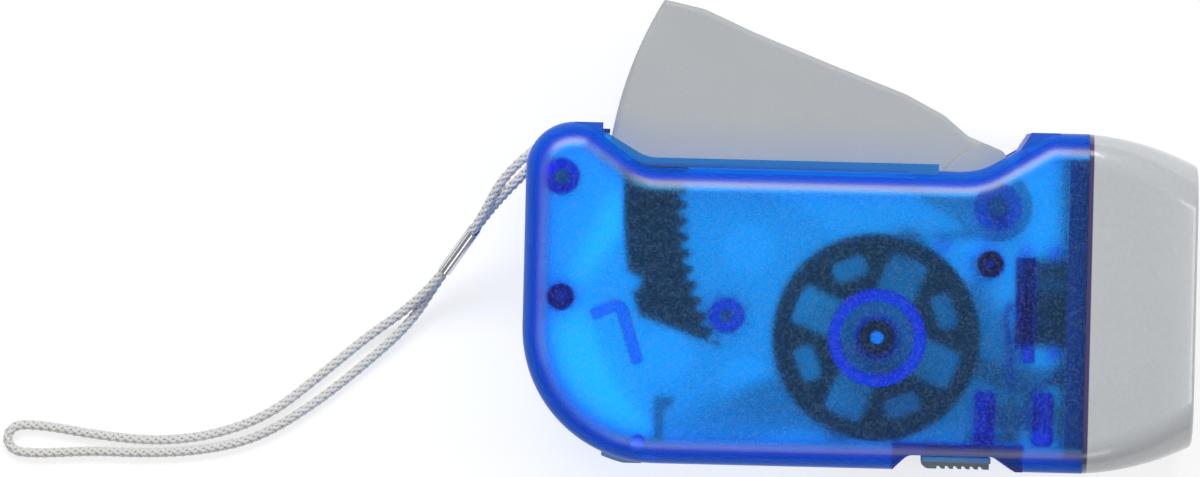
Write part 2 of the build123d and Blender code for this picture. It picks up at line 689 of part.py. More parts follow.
def back_shell():
    shell = casing() & block(TAIL_X - WALL, HEAD_X, BELLY_Y - WALL, TOP_Y + WALL, 0, SEAM)
    adds = [ring(STATOR_R, SEAT_RING_R, WALL, STATOR_LOW), disc(FRONT_BOSS_R, WALL, STATOR_LOW - FIT)]
    adds.append(disc(AXLE_BOSS_R, WALL, WHEEL_LOW - SLIP, AXLE))
    adds.append(disc(PIVOT_BOSS_R, WALL, HUB_LOW - SLIP, PIVOT))
    adds.append(disc(PILLAR_R, WALL, SEAM - STRAP_SLOT_WIDE / 2, from_crown(PILLAR)))
    for degrees in EAR_DEGS:
        adds.append(disc(EAR_R, WALL, STATOR_LOW, polar(EAR_OUT, degrees)))
    for place in screw_posts():
        adds.append(disc(POST_R, WALL, SEAM, place))
        adds.append(disc(POST_FOOT_R, WALL, WALL + POST_FOOT, place))
    anchor_y = spring_start()[1] - SPRING_WIRE_R - RUNNING - ANCHOR_R
    anchor_x = PIVOT[0] - SPRING_FOOT + ANCHOR_INSET
    adds.append(disc(ANCHOR_R, WALL, SPRING_LOW + SPRING_PITCH, (anchor_x, anchor_y)))
    shell = shell + adds + cradle()
    shell -= disc(BUSH_R + FIT, WALL + FIT, STATOR_LOW)
    shell -= disc(AXLE_R + FIT, WALL / 2 + WALL, WHEEL_LOW, AXLE)
    shell -= disc(PIVOT_PIN_R + FIT, WALL / 2 + WALL, SEAM, PIVOT)
    shell -= disc(STRAP_PIN_R + FIT, STRAP_PIN_SUNK, SEAM, from_crown(PILLAR))
    for degrees in EAR_DEGS:
        place = polar(EAR_OUT, degrees)
        shell -= disc(EAR_SCREW_R + FIT, STATOR_LOW - EAR_SCREW_BITE - FIT, STATOR_LOW, place)
    for place in screw_posts():
        shell -= disc(SHELL_SCREW_R + RUNNING, 0, SEAM, place)
        shell -= disc(SHELL_SCREW_HEAD_R + RUNNING, 0, SHELL_SCREW_SUNK + SHELL_SCREW_HEAD, place)
    return shell


def shell_screws():
    screws = []
    low = SHELL_SCREW_SUNK
    top = low + SHELL_SCREW_HEAD
    long = SHELL_SCREW_R * CROSS_LONG_SHARE
    wide = SHELL_SCREW_R * CROSS_WIDE_SHARE
    for x, y in screw_posts():
        screw = disc(SHELL_SCREW_HEAD_R, low, top, (x, y)) + disc(SHELL_SCREW_R, top, SHELL_SCREW_TIP, (x, y))
        screw -= block(x - long, x + long, y - wide, y + wide, low, low + SHELL_SCREW_HEAD / 2)
        screw -= block(x - wide, x + wide, y - long, y + long, low, low + SHELL_SCREW_HEAD / 2)
        screws.append(screw)
    return screws


# Lever and what rides on it
def lever_outline(drop):
    under = [(x, y - drop) for x, y in LEVER_UNDER_SHARES]
    points = from_pivot(LEVER_TOP_SHARES) + from_pivot(under)
    bends = [0, LEVER_BEND, LEVER_BEND, LEVER_BEND, LEVER_BEND, LEVER_BEND, LEVER_BEND / 2]
    bends += [LEVER_CORNER] * 2 + [0] * 2 + [LEVER_CORNER] * 3 + [0]
    face = rounded([(x, y, bend) for (x, y), bend in zip(points, bends)])
    return face & Pos(*PIVOT) * Circle(LEVER_REACH)


def lever():
    body = prism(lever_outline(0), LEVER_LOW, LEVER_HIGH)
    layers = body.faces().sort_by(Axis.Z)
    body = fillet(layers[0].edges() + layers[-1].edges(), LEVER_EDGE)
    hub = prism(lever_outline(0) & Pos(*PIVOT) * Circle(LEVER_HUB_R), HUB_LOW, HUB_HIGH)
    body = body + hub + disc(LEVER_EYE_R, HUB_LOW, HUB_HIGH, PIVOT)
    body -= prism(offset(lever_outline(LEVER_HOLLOW_SHARE), -LEVER_WALL), LEVER_IN_LOW, LEVER_IN_HIGH)
    body -= disc(LEVER_EYE_R + SLIP, LEVER_IN_LOW, LEVER_IN_HIGH, PIVOT)
    body += disc(LEVER_SLEEVE_R, HUB_LOW, HUB_HIGH, PIVOT)
    body -= disc(PIVOT_PIN_R + RUNNING, HUB_LOW, HUB_HIGH, PIVOT)
    body += stop_tab()
    wheel = disc(WHEEL_TIP_R + SLIP, WHEEL_LOW - SLIP, WHEEL_LOW + WHEEL_THICK + SLIP, AXLE)
    body -= turned(wheel, -SQUEEZE_DEG)
    for place in rack_screw_places():
        body -= disc(RACK_SCREW_R + FIT, LEVER_IN_HIGH - FIT, LEVER_IN_HIGH + RACK_SCREW_BITE, place)
    return body


def sector(outer, inner, low_deg, high_deg):
    spread = (low_deg, (low_deg + high_deg) / 2, high_deg)
    corners = [polar(2 * outer, 180 - degrees, PIVOT) for degrees in spread]
    return (Pos(*PIVOT) * (Circle(outer) - Circle(inner))) & polygon(PIVOT, *corners)


def stop_tab():
    inner = LEVER_REACH - LEVER_WALL
    arc = sector(LEVER_REACH + STOP_DEPTH, inner, LEVER_END_DEG, LEVER_END_DEG + STOP_DEG)
    return prism(arc, LEVER_LOW, LEVER_HIGH)


def rack_screw_places():
    radius = (RACK_ROOT_R + RACK_OUTER_R) / 2
    return [polar(radius, 180 - degrees, PIVOT) for degrees in RACK_SCREW_DEGS]


def sector_rack():
    high = RACK_LOW + RACK_THICK
    blank = prism(sector(RACK_OUTER_R, RACK_TIP_R, -SWING_DEG - SQUEEZE_DEG, RACK_TOP_DEG), RACK_LOW, high)
    pad_out = RACK_OUTER_R - RACK_PAD_INSET
    pad_in = RACK_ROOT_R + RACK_PAD_INSET
    pad = sector(pad_out, pad_in, RACK_TOP_DEG - RACK_PAD_DEG, RACK_TOP_DEG)
    blank += prism(pad, RACK_LOW, LEVER_IN_HIGH)
    end = BELLY_IN + RACK_END_RISE
    floor = block(TAIL_X, PIVOT[0], BELLY_Y - OVERRUN, end, 0, THICKNESS)
    catch_right = HOOK_TIP + LOCK_TRAVEL + SLIP
    catch_bottom = HOOK_TOP - HOOK_WIDE - SLIP
    catch = block(PIVOT[0] - RACK_OUTER_R, catch_right, catch_bottom, HOOK_TOP + SLIP, 0, THICKNESS)
    blank -= turned(floor + catch, -SQUEEZE_DEG)
    pitch_deg = 360 / RACK_TEETH
    space = math.pi * RACK_MODULE / 2 + BACKLASH / 2
    count = math.ceil((SWING_DEG + RACK_TOP_DEG) / pitch_deg)
    for n in range(-1, count):
        middle = 180 + SWING_DEG - n * pitch_deg
        points = tooth(middle, RACK_PITCH_R, space, RACK_TIP_R - TOOTH_CLEARANCE, RACK_ROOT_R)
        blank -= Pos(*PIVOT) * prism(polygon(*points), RACK_LOW, high)
    for place in rack_screw_places():
        blank -= disc(RACK_SCREW_R + FIT, RACK_LOW, LEVER_IN_HIGH, place)
        blank -= disc(RACK_SCREW_HEAD_R + FIT, RACK_LOW, RACK_LOW + RACK_SCREW_HEAD + SLIP, place)
    return blank


def rack_screws():
    screws = []
    low = RACK_LOW + SLIP
    for place in rack_screw_places():
        head = disc(RACK_SCREW_HEAD_R, low, low + RACK_SCREW_HEAD, place)
        screws.append(head + disc(RACK_SCREW_R, low, LEVER_IN_HIGH + RACK_SCREW_BITE - FIT, place))
    return screws


def biarc(start, way, end, end_way):
    chord = end - start
    both = way + end_way
    lean = chord.dot(both)
    spread = 4 - both.dot(both)
    reach = (math.sqrt(lean ** 2 + spread * chord.dot(chord)) - lean) / spread
    joint = (start + way * reach + end - end_way * reach) / 2
    first = TangentArc(start, joint, tangent=way)
    return [first, TangentArc(joint, end, tangent=first.tangent_at(1))]


def coil_point(turn):
    angle = 2 * math.pi * turn - math.pi / 2
    x = PIVOT[0] + SPRING_R * math.cos(angle)
    y = PIVOT[1] + SPRING_R * math.sin(angle)
    rise = SPRING_PITCH / (2 * math.pi * SPRING_R)
    way = Vector(-math.sin(angle), math.cos(angle), rise).normalized()
    return Vector(x, y, SPRING_LOW + SPRING_PITCH * turn), way


def least_gap(last):
    steps = SPRING_TURNS * SPRING_CHECKS
    points = [coil_point(last * n / steps)[0] for n in range(steps + 1)]
    near = min((a - b).length for n, a in enumerate(points) for b in points[n + SPRING_CHECKS // 2:])
    return near - 2 * SPRING_WIRE_R


def return_spring():
    last = SPRING_TURNS + SPRING_ARM_DEG / 360 - 1
    steps = SPRING_TURNS * SPRING_STEPS
    turns = [last * n / steps for n in range(steps + 1)]
    print("spring least gap", round(least_gap(last), 2))
    start, way = coil_point(0)
    edges = [Line(start - way * SPRING_FOOT, start)]
    for near, far in zip(turns, turns[1:]):
        edges += biarc(*coil_point(near), *coil_point(far))
    end, way = coil_point(last)
    edges.append(Line(end, end + way * SPRING_ARM))
    path = Wire(edges)
    return sweep(Plane(path @ 0, z_dir=path % 0) * Circle(SPRING_WIRE_R), path=path)


# Wheels and axles
def pinion_top():
    return WHEEL_LOW + WHEEL_THICK + 2 * PINION_TOP_GAP + RACK_THICK


def double_gear():
    high = WHEEL_LOW + WHEEL_THICK
    toward_pinion = math.degrees(math.atan2(-AXLE[1], -AXLE[0]))
    face = gear_face(WHEEL_TEETH, WHEEL_PITCH_R, WHEEL_ROOT_R, WHEEL_TIP_R, toward_pinion)
    wheel = prism(face, WHEEL_LOW, high)
    wheel -= ring(WHEEL_RIM_IN_R, WHEEL_HUB_R, high - WHEEL_WEB_CUT, high)
    hole_out = (WHEEL_RIM_IN_R + WHEEL_HUB_R) / 2
    for n in range(WHEEL_HOLES):
        wheel -= disc(WHEEL_HOLE_R, WHEEL_LOW, high, polar(hole_out, n * 360 / WHEEL_HOLES))
    top = pinion_top()
    face = gear_face(PINION_TEETH, PINION_PITCH_R, PINION_ROOT_R, PINION_TIP_R, 180 + SWING_DEG)
    pinion = prism(face, high, top)
    gear = wheel + pinion - disc(AXLE_R + RUNNING, WHEEL_LOW, top)
    return Pos(*AXLE) * gear


def gear_axle():
    return disc(AXLE_R, WALL / 2 + WALL + FIT, FRONT_IN - WALL / 2 - FIT, AXLE)


def pivot_pin():
    return disc(PIVOT_PIN_R, WALL / 2 + WALL + FIT, FRONT_IN - WALL / 2 - FIT, PIVOT)


def clutch_pinion():
    high = WHEEL_LOW + WHEEL_THICK
    first = AXLE_DEG + 180 / CLUTCH_TEETH
    face = gear_face(CLUTCH_TEETH, CLUTCH_PITCH_R, CLUTCH_ROOT_R, CLUTCH_TIP_R, first)
    gear = prism(face, WHEEL_LOW, high)
    points = []
    for n in range(RATCHET_TEETH):
        degrees = n * 360 / RATCHET_TEETH
        points += [polar(RATCHET_ROOT_R, degrees), polar(RATCHET_TIP_R, degrees)]
    gear += prism(polygon(*points), high, high + RATCHET_TALL)
    return gear - disc(SPINDLE_R + RUNNING, WHEEL_LOW, high + RATCHET_TALL)


def thrust_washer():
    high = WHEEL_LOW - RUNNING
    return ring(WASHER_R, SPINDLE_R + FIT, high - WASHER_THICK, high)


def flywheel():
    high = FLYWHEEL_LOW + FLYWHEEL_THICK
    cut = FLYWHEEL_WEB_CUT
    wheel = ring(FLYWHEEL_R, FLYWHEEL_RIM_R, FLYWHEEL_LOW, high)
    wheel += ring(FLYWHEEL_RIM_R + WALL / 2, NYLON_R + FIT, FLYWHEEL_LOW + cut, high - cut)
    slot = block(0, FLYWHEEL_RIM_R, -FLY_SLOT_WIDTH / 2, FLY_SLOT_WIDTH / 2, FLYWHEEL_LOW, high)
    slot = slot & disc(FLYWHEEL_RIM_R, FLYWHEEL_LOW, high)
    middle = (WINDOW_IN_R + WINDOW_OUT_R) / 2
    opening = Pos(middle, 0) * RectangleRounded(WINDOW_OUT_R - WINDOW_IN_R, WINDOW_WIDTH, WINDOW_ROUND)
    window = prism(opening, FLYWHEEL_LOW, high)
    for n in range(SLOT_COUNT):
        wheel -= Rot(0, 0, FLY_SLOT_DEG + n * 360 / SLOT_COUNT) * slot
        wheel -= Rot(0, 0, WINDOW_DEG + n * 360 / SLOT_COUNT) * window
    return wheel


def clutch_hub():
    low = FLYWHEEL_LOW - NYLON_BELOW
    high = FLYWHEEL_LOW + FLYWHEEL_THICK
    pocket_top = low + POCKET_DEEP
    hub = disc(NYLON_R, low, high) + disc(BUSH_R, high, high + NYLON_TOP)
    hub -= disc(POCKET_R, low, pocket_top)
    tip = RATCHET_TIP_R + PAWL_GAP
    for n in range(PAWLS):
        degrees = n * 360 / PAWLS
        root = [polar(POCKET_R + FIT, degrees), polar(POCKET_R + FIT, degrees + PAWL_ROOT_DEG)]
        hub += prism(polygon(*root, polar(tip, degrees - PAWL_LEAN_DEG)), low + RUNNING, pocket_top)
    return hub - disc(SPINDLE_R, low, high + NYLON_TOP)


def spindle():
    return disc(SPINDLE_R, WALL + 2 * FIT, FRONT_BOSS_LOW + BUSH_TALL - FIT)


def front_bush():
    return ring(BUSH_R, SPINDLE_R + RUNNING, FRONT_BOSS_LOW, FRONT_BOSS_LOW + BUSH_TALL - BUSH_END_GAP)


def back_bush():
    return ring(BUSH_R, SPINDLE_R + RUNNING, WALL + 2 * FIT, WALL + BACK_BUSH_TALL)


# Generator
def claw(low, high, degrees):
    inner = MAGNET_R + MAGNET_GAP
    bar = block(inner, inner + CLAW_THICK, -CLAW_WIDE / 2, CLAW_WIDE / 2, low, high)
    return Rot(0, 0, degrees) * bar


def magnet_span():
    low = STATOR_LOW + PLATE_THICK + SLIP
    return low, low + MAGNET_TALL


def lower_pole_plate():
    top = STATOR_LOW + STATOR_TALL - PLATE_THICK
    plate = disc(STATOR_R, STATOR_LOW, STATOR_LOW + PLATE_THICK)
    plate += ring(STATOR_R, STATOR_R - PLATE_THICK, STATOR_LOW, top)
    for degrees in EAR_DEGS:
        plate += disc(EAR_R, STATOR_LOW, STATOR_LOW + PLATE_THICK, polar(EAR_OUT, degrees))
    plate -= disc(STATOR_R - PLATE_THICK, STATOR_LOW + PLATE_THICK, top)
    plate -= disc(FRONT_BOSS_R, STATOR_LOW, STATOR_LOW + PLATE_THICK)
    for n in range(CLAW_COUNT):
        plate += claw(STATOR_LOW, top - PLATE_THICK, n * 360 / CLAW_COUNT)
    for degrees in EAR_DEGS:
        plate -= disc(EAR_SCREW_R + FIT, STATOR_LOW, STATOR_LOW + PLATE_THICK, polar(EAR_OUT, degrees))
    return plate


def upper_pole_plate():
    top = STATOR_LOW + STATOR_TALL
    plate = ring(STATOR_R, MAGNET_R + MAGNET_GAP, top - PLATE_THICK, top)
    for n in range(CLAW_COUNT):
        plate += claw(STATOR_LOW + 2 * PLATE_THICK, top, (2 * n + 1) * 180 / CLAW_COUNT)
    return plate


def bobbin_limits():
    low = STATOR_LOW + PLATE_THICK + FIT
    high = STATOR_LOW + STATOR_TALL - PLATE_THICK - FIT
    inner = math.hypot(MAGNET_R + MAGNET_GAP + CLAW_THICK, CLAW_WIDE / 2) + BOBBIN_GAP
    outer = STATOR_R - PLATE_THICK - BOBBIN_GAP
    return low, high, inner, outer


def coil_bobbin():
    low, high, inner, outer = bobbin_limits()
    spool = ring(outer, inner, low, high)
    return spool - ring(outer, inner + BOBBIN_WALL, low + BOBBIN_WALL, high - BOBBIN_WALL)


def coil_winding():
    low, high, inner, outer = bobbin_limits()
    gap = BOBBIN_WALL + FIT
    return ring(outer - BOBBIN_WALL, inner + gap, low + gap, high - gap)


def ring_magnet():
    low, high = magnet_span()
    return ring(MAGNET_R, SPINDLE_R, low, high)


def stator_screws():
    screws = []
    top = STATOR_LOW + PLATE_THICK
    for degrees in EAR_DEGS:
        place = polar(EAR_OUT, degrees)
        shank = disc(EAR_SCREW_R, STATOR_LOW - EAR_SCREW_BITE, top, place)
        screws.append(shank + disc(EAR_SCREW_HEAD_R, top, top + EAR_SCREW_HEAD, place))
    return screws


# Belly: switch and lock
def switch_case():
    case = block(CASE_LEFT, CASE_RIGHT, CASE_BOTTOM, CASE_TOP, CASE_LOW, CASE_HIGH)
    return fillet(case.edges() | Axis.Z, CASE_EDGE)


def switch_terminals():
    middle = (CASE_LEFT + CASE_RIGHT) / 2
    pins = []
    for n in range(TERMINALS):
        x = middle + (n - (TERMINALS - 1) / 2) * TERMINAL_PITCH
        pins.append(block(x - TERMINAL_WIDE / 2, x + TERMINAL_WIDE / 2, CASE_TOP, CASE_TOP + TERMINAL_TALL,
                          SEAM - TERMINAL_THICK / 2, SEAM + TERMINAL_THICK / 2))
    return pins


def carriage_top():
    return BELLY_Y + SCOOP_DEPTH + SCOOP_FLOOR + SLIP + CARRIAGE_THICK


def switch_nib():
    low = STEM_LOW + FORK_WALL
    high = STEM_HIGH - FORK_WALL
    bottom = carriage_top() - CARRIAGE_THICK
    return block(NIB_LEFT, NIB_LEFT + NIB_WIDE, bottom, CASE_BOTTOM - SLIP, low, high)


def switch_knob():
    floor = BELLY_Y + SCOOP_DEPTH
    under = floor - SLIP - KNOB_BASE_THICK
    half = KNOB_BASE_WIDE / 2
    base = block(KNOB_LEFT, KNOB_BASE_RIGHT, under, floor - SLIP, SEAM - half, SEAM + half)
    half = KNOB_PAD_WIDE / 2
    bottom = BELLY_Y + KNOB_PAD_SUNK
    pad = block(KNOB_LEFT, KNOB_PAD_RIGHT, bottom, under, SEAM - half, SEAM + half)
    pad = fillet(pad.edges().filter_by(Axis.Z).group_by(Axis.Y)[0].sort_by(Axis.X)[0], KNOB_BASE_THICK)
    first = KNOB_LEFT + GRIP_PITCH
    grip = GRIP_WIDE / 2
    for n in range(KNOB_GRIPS):
        x = first + (n + 1) * GRIP_PITCH
        pad -= block(x - grip, x + grip, bottom, bottom + GRIP_DEEP, SEAM - half, SEAM + half)
    top = carriage_top()
    stem = block(STEM_LEFT, STEM_RIGHT, under, top, STEM_LOW, STEM_HIGH)
    carriage = block(STEM_LEFT, CARRIAGE_RIGHT, top - CARRIAGE_THICK, top, STEM_LOW, STEM_HIGH)
    knob = base + pad + stem + carriage
    return knob - block(NIB_LEFT - FIT, NIB_LEFT + NIB_WIDE + FIT, top - CARRIAGE_THICK, top,
                        STEM_LOW + FORK_WALL - FIT, STEM_HIGH - FORK_WALL + FIT)


def lock_slider():
    half = LOCK_WIDE / 2
    right = LOCK_LEFT + LOCK_LONG
    plate_low = BELLY_IN + LOCK_PLATE_UP
    plate_high = plate_low + LOCK_PLATE
    pad = block(LOCK_LEFT, right, BELLY_Y - LOCK_PROUD, plate_high, SEAM - half, SEAM + half)
    corner = (TAIL_X + BELLY_CORNER, BELLY_Y + BELLY_CORNER)
    pad = pad & disc(BELLY_CORNER + LOCK_STAND, SEAM - half, SEAM + half, corner)
    inside = disc(BELLY_CORNER - WALL, SEAM - half, SEAM + half, (corner[0] - SLIP, corner[1] + SLIP))
    pad -= inside & block(LOCK_LEFT, LOCK_PLATE_LEFT, BELLY_Y, plate_high + WALL, SEAM - half, SEAM + half)
    half = LOCK_PLATE_WIDE / 2
    plate = block(LOCK_PLATE_LEFT, right, plate_low, plate_high, SEAM - half, SEAM + half)
    high = HOOK_LOW + HOOK_THICK
    stem = block(HOOK_LEFT, HOOK_LEFT + HOOK_WIDE, plate_low, HOOK_TOP, HOOK_LOW, high)
    foot = block(right - WALL, HOOK_LEFT + HOOK_WIDE, plate_low, plate_high, HOOK_LOW, high - WALL / 4)
    hook = block(HOOK_LEFT, HOOK_TIP, HOOK_TOP - HOOK_WIDE, HOOK_TOP, HOOK_LOW, high)
    return pad + plate + foot + stem + hook


# Head
def bezel_loft(inset):
    sections = []
    for place, share in zip(BEZEL_PLACE_SHARES, BEZEL_SIZE_SHARES):
        plane = Plane(origin=(HEAD_X + place * BEZEL_LONG, MIDDLE_Y, SEAM), x_dir=(0, 1, 0), z_dir=(1, 0, 0))
        corner = SHOULDER + (BEZEL_FRONT_CORNER - SHOULDER) * place - inset
        tall = HEAD_TALL * share - 2 * inset
        wide = THICKNESS * share - 2 * inset
        sections.append(plane * RectangleRounded(tall, wide, corner))
    return loft(sections)


def head_plate(tall, wide, corner, back, front):
    plane = Plane(origin=(back, MIDDLE_Y, SEAM), x_dir=(0, 1, 0), z_dir=(1, 0, 0))
    return extrude(plane * RectangleRounded(tall, wide, corner), front - back)


def slab(back, front):
    return block(back, front, BELLY_Y - OVERRUN, TOP_Y + OVERRUN, -OVERRUN, THICKNESS + OVERRUN)


def head_size(share):
    return HEAD_TALL * share - 2 * BEZEL_WALL, THICKNESS * share - 2 * BEZEL_WALL


def front_x():
    return HEAD_X + BEZEL_LONG


def board_span():
    return HEAD_X - BOARD_BACK, HEAD_X - BOARD_BACK + BOARD_THICK


def lens_bezel():
    outer = bezel_loft(0)
    rim = outer.faces().sort_by(Axis.X)[-1]
    outer = fillet(rim.edges(), BEZEL_EDGE)
    bezel = outer - (bezel_loft(BEZEL_WALL) & slab(HEAD_X - WALL, front_x() - FLANGE))
    tall, wide = head_size(BEZEL_SIZE_SHARES[-1])
    opening = 2 * FLANGE_LAP
    back = front_x() - 2 * FLANGE
    bezel -= head_plate(tall - opening, wide - opening, SHOULDER - WALL, back, front_x() + FLANGE)
    ledge_back = board_span()[1]
    ledge = bezel_loft(BEZEL_WALL / 2) & slab(ledge_back, ledge_back + LEDGE_THICK)
    tall = BOARD_TALL - 2 * LEDGE_END
    wide = BOARD_WIDE - 2 * LEDGE_SIDE
    bezel += ledge - head_plate(tall, wide, SHOULDER - WALL, HEAD_X, HEAD_X + OVERRUN)
    outside = 2 * (WALL + SKIRT_FIT)
    corner = SHOULDER - WALL - SKIRT_FIT
    back = HEAD_X - SKIRT_LONG
    front = HEAD_X + BEZEL_WALL
    skirt = head_plate(HEAD_TALL - outside, THICKNESS - outside, corner, back, front)
    inside = outside + 2 * SKIRT_WALL
    skirt -= head_plate(HEAD_TALL - inside, THICKNESS - inside, corner - SKIRT_WALL, back, front)
    bezel += skirt
    for y in board_screw_places():
        bezel -= rod(BOARD_SCREW_R + FIT, ledge_back, ledge_back + LEDGE_THICK, y, SEAM)
    return bezel


def lens():
    front = front_x() - FLANGE
    tall, wide = head_size(BEZEL_SIZE_SHARES[-1])
    return head_plate(tall - LENS_GAP, wide - LENS_GAP, BEZEL_FRONT_CORNER - WALL, front - LENS_THICK, front)


def board_screw_places():
    out = BOARD_TALL / 2 - BOARD_SCREW_IN
    return [MIDDLE_Y - out, MIDDLE_Y + out]


def lamp_places():
    return [MIDDLE_Y + (n - (LAMPS - 1) / 2) * LAMP_PITCH for n in range(LAMPS)]


def reflector():
    front = front_x() - FLANGE - LENS_THICK
    tall, wide = head_size(BEZEL_SIZE_SHARES[-1])
    corner = BEZEL_FRONT_CORNER - WALL
    plate = head_plate(tall - LENS_GAP, wide - LENS_GAP, corner, front - REFLECTOR_PLATE, front)
    plate = plate + [Pos(front, y, SEAM) * Rot(0, -90, 0) * cup(CUP_WALL) for y in lamp_places()]
    return plate - [Pos(front, y, SEAM) * Rot(0, -90, 0) * cup(0) for y in lamp_places()]


def cup(wall):
    back = CUP_BACK_R + wall
    front = CUP_FRONT_R + wall
    bulge = CUP_BACK_R + (CUP_FRONT_R - CUP_BACK_R) * CUP_BULGE_SHARE + wall
    middle = (bulge, CUP_LONG * CUP_BULGE_PLACE_SHARE)
    side = ThreePointArc((front, 0), middle, (back, CUP_LONG))
    rest = Polyline((back, CUP_LONG), (0, CUP_LONG), (0, 0), (front, 0))
    return revolve(Rot(90, 0, 0) * make_face([side, rest]), Axis.Z)


def led_board():
    back, front = board_span()
    board = head_plate(BOARD_TALL, BOARD_WIDE, WALL / 2, back, front)
    for y in board_screw_places():
        board -= rod(BOARD_SCREW_R + FIT, back, front, y, SEAM)
    for y, z in leg_places():
        board -= rod(LEG_R + FIT, back, front, y, z)
    return board


def leg_places():
    return [(y, SEAM + way * LEG_PITCH / 2) for y in lamp_places() for way in (-1, 1)]


def board_screws():
    back, front = board_span()
    return [rod(BOARD_SCREW_HEAD_R, back - BOARD_SCREW_HEAD, back, y, SEAM)
            + rod(BOARD_SCREW_R, back, front + LEDGE_THICK, y, SEAM) for y in board_screw_places()]


def led_lamps():
    base = board_span()[1]
    lamps = []
    for y in lamp_places():
        dome = base + LAMP_LONG - LAMP_R
        lamp = rod(LAMP_RIM_R, base, base + LAMP_RIM, y, SEAM) + rod(LAMP_R, base, dome, y, SEAM)
        lamps.append(lamp + Pos(dome, y, SEAM) * Sphere(LAMP_R))
    return lamps


def led_legs():
    back, front = board_span()
    return [rod(LEG_R, front - LEG_LONG, front, y, z) for y, z in leg_places()]


def button_cells():
    cells = []
    for n in range(CELLS):
        back = SLEEVE_LEFT + n * CELL_THICK
        can = rod(CELL_R, back + CELL_CAP, back + CELL_THICK, CELL_Y, SEAM)
        cells.append(can + rod(CELL_CAP_R, back, back + CELL_CAP, CELL_Y, SEAM))
    return cells


def cell_sleeve():
    long = CELLS * CELL_THICK
    tube = rod(SLEEVE_R, SLEEVE_LEFT, SLEEVE_LEFT + long, CELL_Y, SEAM)
    return tube - rod(CELL_R + SLEEVE_GAP, SLEEVE_LEFT, SLEEVE_LEFT + long, CELL_Y, SEAM)


def cell_contacts():
    plates = []
    for back in (SLEEVE_LEFT - CONTACT_THICK, SLEEVE_LEFT + CELLS * CELL_THICK):
        plate = rod(CONTACT_R, back, back + CONTACT_THICK, CELL_Y, SEAM)
        half = CONTACT_TAIL / 2
        bottom = CELL_Y - CONTACT_R - CONTACT_TAIL
        tail = block(back, back + CONTACT_THICK, bottom, CELL_Y, SEAM - half, SEAM + half)
        plates.append(plate + tail)
    return plates


# Wires and strap
def bend_radii(points, share):
    ways = [(Vector(b) - Vector(a)) for a, b in zip(points, points[1:])]
    radii = []
    for before, after in zip(ways, ways[1:]):
        half = math.radians(before.get_angle(after) / 2)
        radii.append(share * min(before.length, after.length) / math.tan(half))
    return radii


def tube(points, radius, radii):
    path = FilletPolyline(*points, radius=radii)
    solid = sweep(Plane(path @ 0, z_dir=path % 0) * Circle(radius), path=path)
    return solid, path


def wire(points):
    return tube(points, LEAD_R, bend_radii(points, ARC_SHARE))[0]


def switch_leads():
    left = SLEEVE_LEFT - CONTACT_THICK
    pin_y = CASE_TOP + TERMINAL_TALL
    pin_x = (CASE_LEFT + CASE_RIGHT) / 2
    battery = [
        (left - LEAD_R, CELL_Y, SEAM + CONTACT_R),
        (left - 3 * LEAD_R, CELL_Y - WALL, SEAM + CONTACT_R),
        (left - 2 * LEAD_R, CELL_Y - CONTACT_R, SEAM + CONTACT_R),
        (left - LEAD_R, pin_y + 2 * WALL, SEAM + WALL),
        (pin_x, pin_y + LEAD_R, SEAM + WALL / 2),
    ]
    board = [
        (pin_x + TERMINAL_PITCH, pin_y + LEAD_R, SEAM),
        (pin_x + 2 * TERMINAL_PITCH, pin_y + WALL, SEAM - WALL),
        (board_span()[0] - LEAD_R, pin_y + 2 * WALL, SEAM - WALL),
    ]
    return [wire(battery), wire(board)]


def coil_leads():
    out = STATOR_R + LEAD_R + FIT
    leads = []
    for n in range(2):
        z = STATOR_LOW + STATOR_TALL / 2 + n * 3 * LEAD_R
        y = -WALL - n * WALL
        start = (math.sqrt(out ** 2 - y ** 2) + LEAD_R, y, z)
        end = (board_span()[0] - LEAD_R, y - WALL, z)
        low = z - LEAD_R
        leads.append(wire([start, (out + 2 * WALL, y - WALL, low), (SLEEVE_LEFT, y - 2 * WALL, low), end]))
    return leads


def fitted(route):
    rest = STRAP_R + FIT
    tail, crown, seam = ROUTE_FITS
    lift = (SEAM - rest) / (seam - rest)
    return [(x + TAIL_X - tail, y + TOP_Y - crown, rest + (z - rest) * lift) for x, y, z in route]


def strap_cord():
    route = fitted(STRAP_ROUTE)
    radii = bend_radii(route, ARC_SHARE)
    print("strap radii", [round(r, 1) for r in radii])
    solid, path = tube(route, STRAP_R, radii)
    share = solid.volume / (math.pi * STRAP_R ** 2 * path.length)
    print("strap length", round(path.length, 1), "volume share", round(share, 4))
    return solid


def strap_bight():
    points = fitted([STRAP_ROUTE[0], *BIGHT_ROUTE, STRAP_ROUTE[-1]])
    return tube(points, STRAP_R, [BIGHT_EDGE, BIGHT_BEND, BIGHT_BEND, BIGHT_BEND, BIGHT_EDGE])[0]


def strap_pin():
    return disc(STRAP_PIN_R, STRAP_PIN_SUNK + FIT, THICKNESS - STRAP_PIN_SUNK - FIT, from_crown(PILLAR))


def strap_ferrule():
    route = [Vector(point) for point in fitted(STRAP_ROUTE)]
    upper = route[2:4]
    lower = route[-3:-5:-1]
    ends = [(a + b) / 2 for a, b in zip(upper, lower)]
    apart = upper[0] - lower[0]
    way = (ends[1] - ends[0]).normalized()
    start = (ends[0] + ends[1]) / 2 - way * (FERRULE_LONG / 2)
    plane = Plane(start, x_dir=apart, z_dir=way)
    bore = STRAP_R + FERRULE_GAP
    outer = bore + FERRULE_WALL
    outline = SlotCenterToCenter(apart.length, 2 * outer) - SlotCenterToCenter(apart.length, 2 * bore)
    return extrude(plane * outline, FERRULE_LONG)


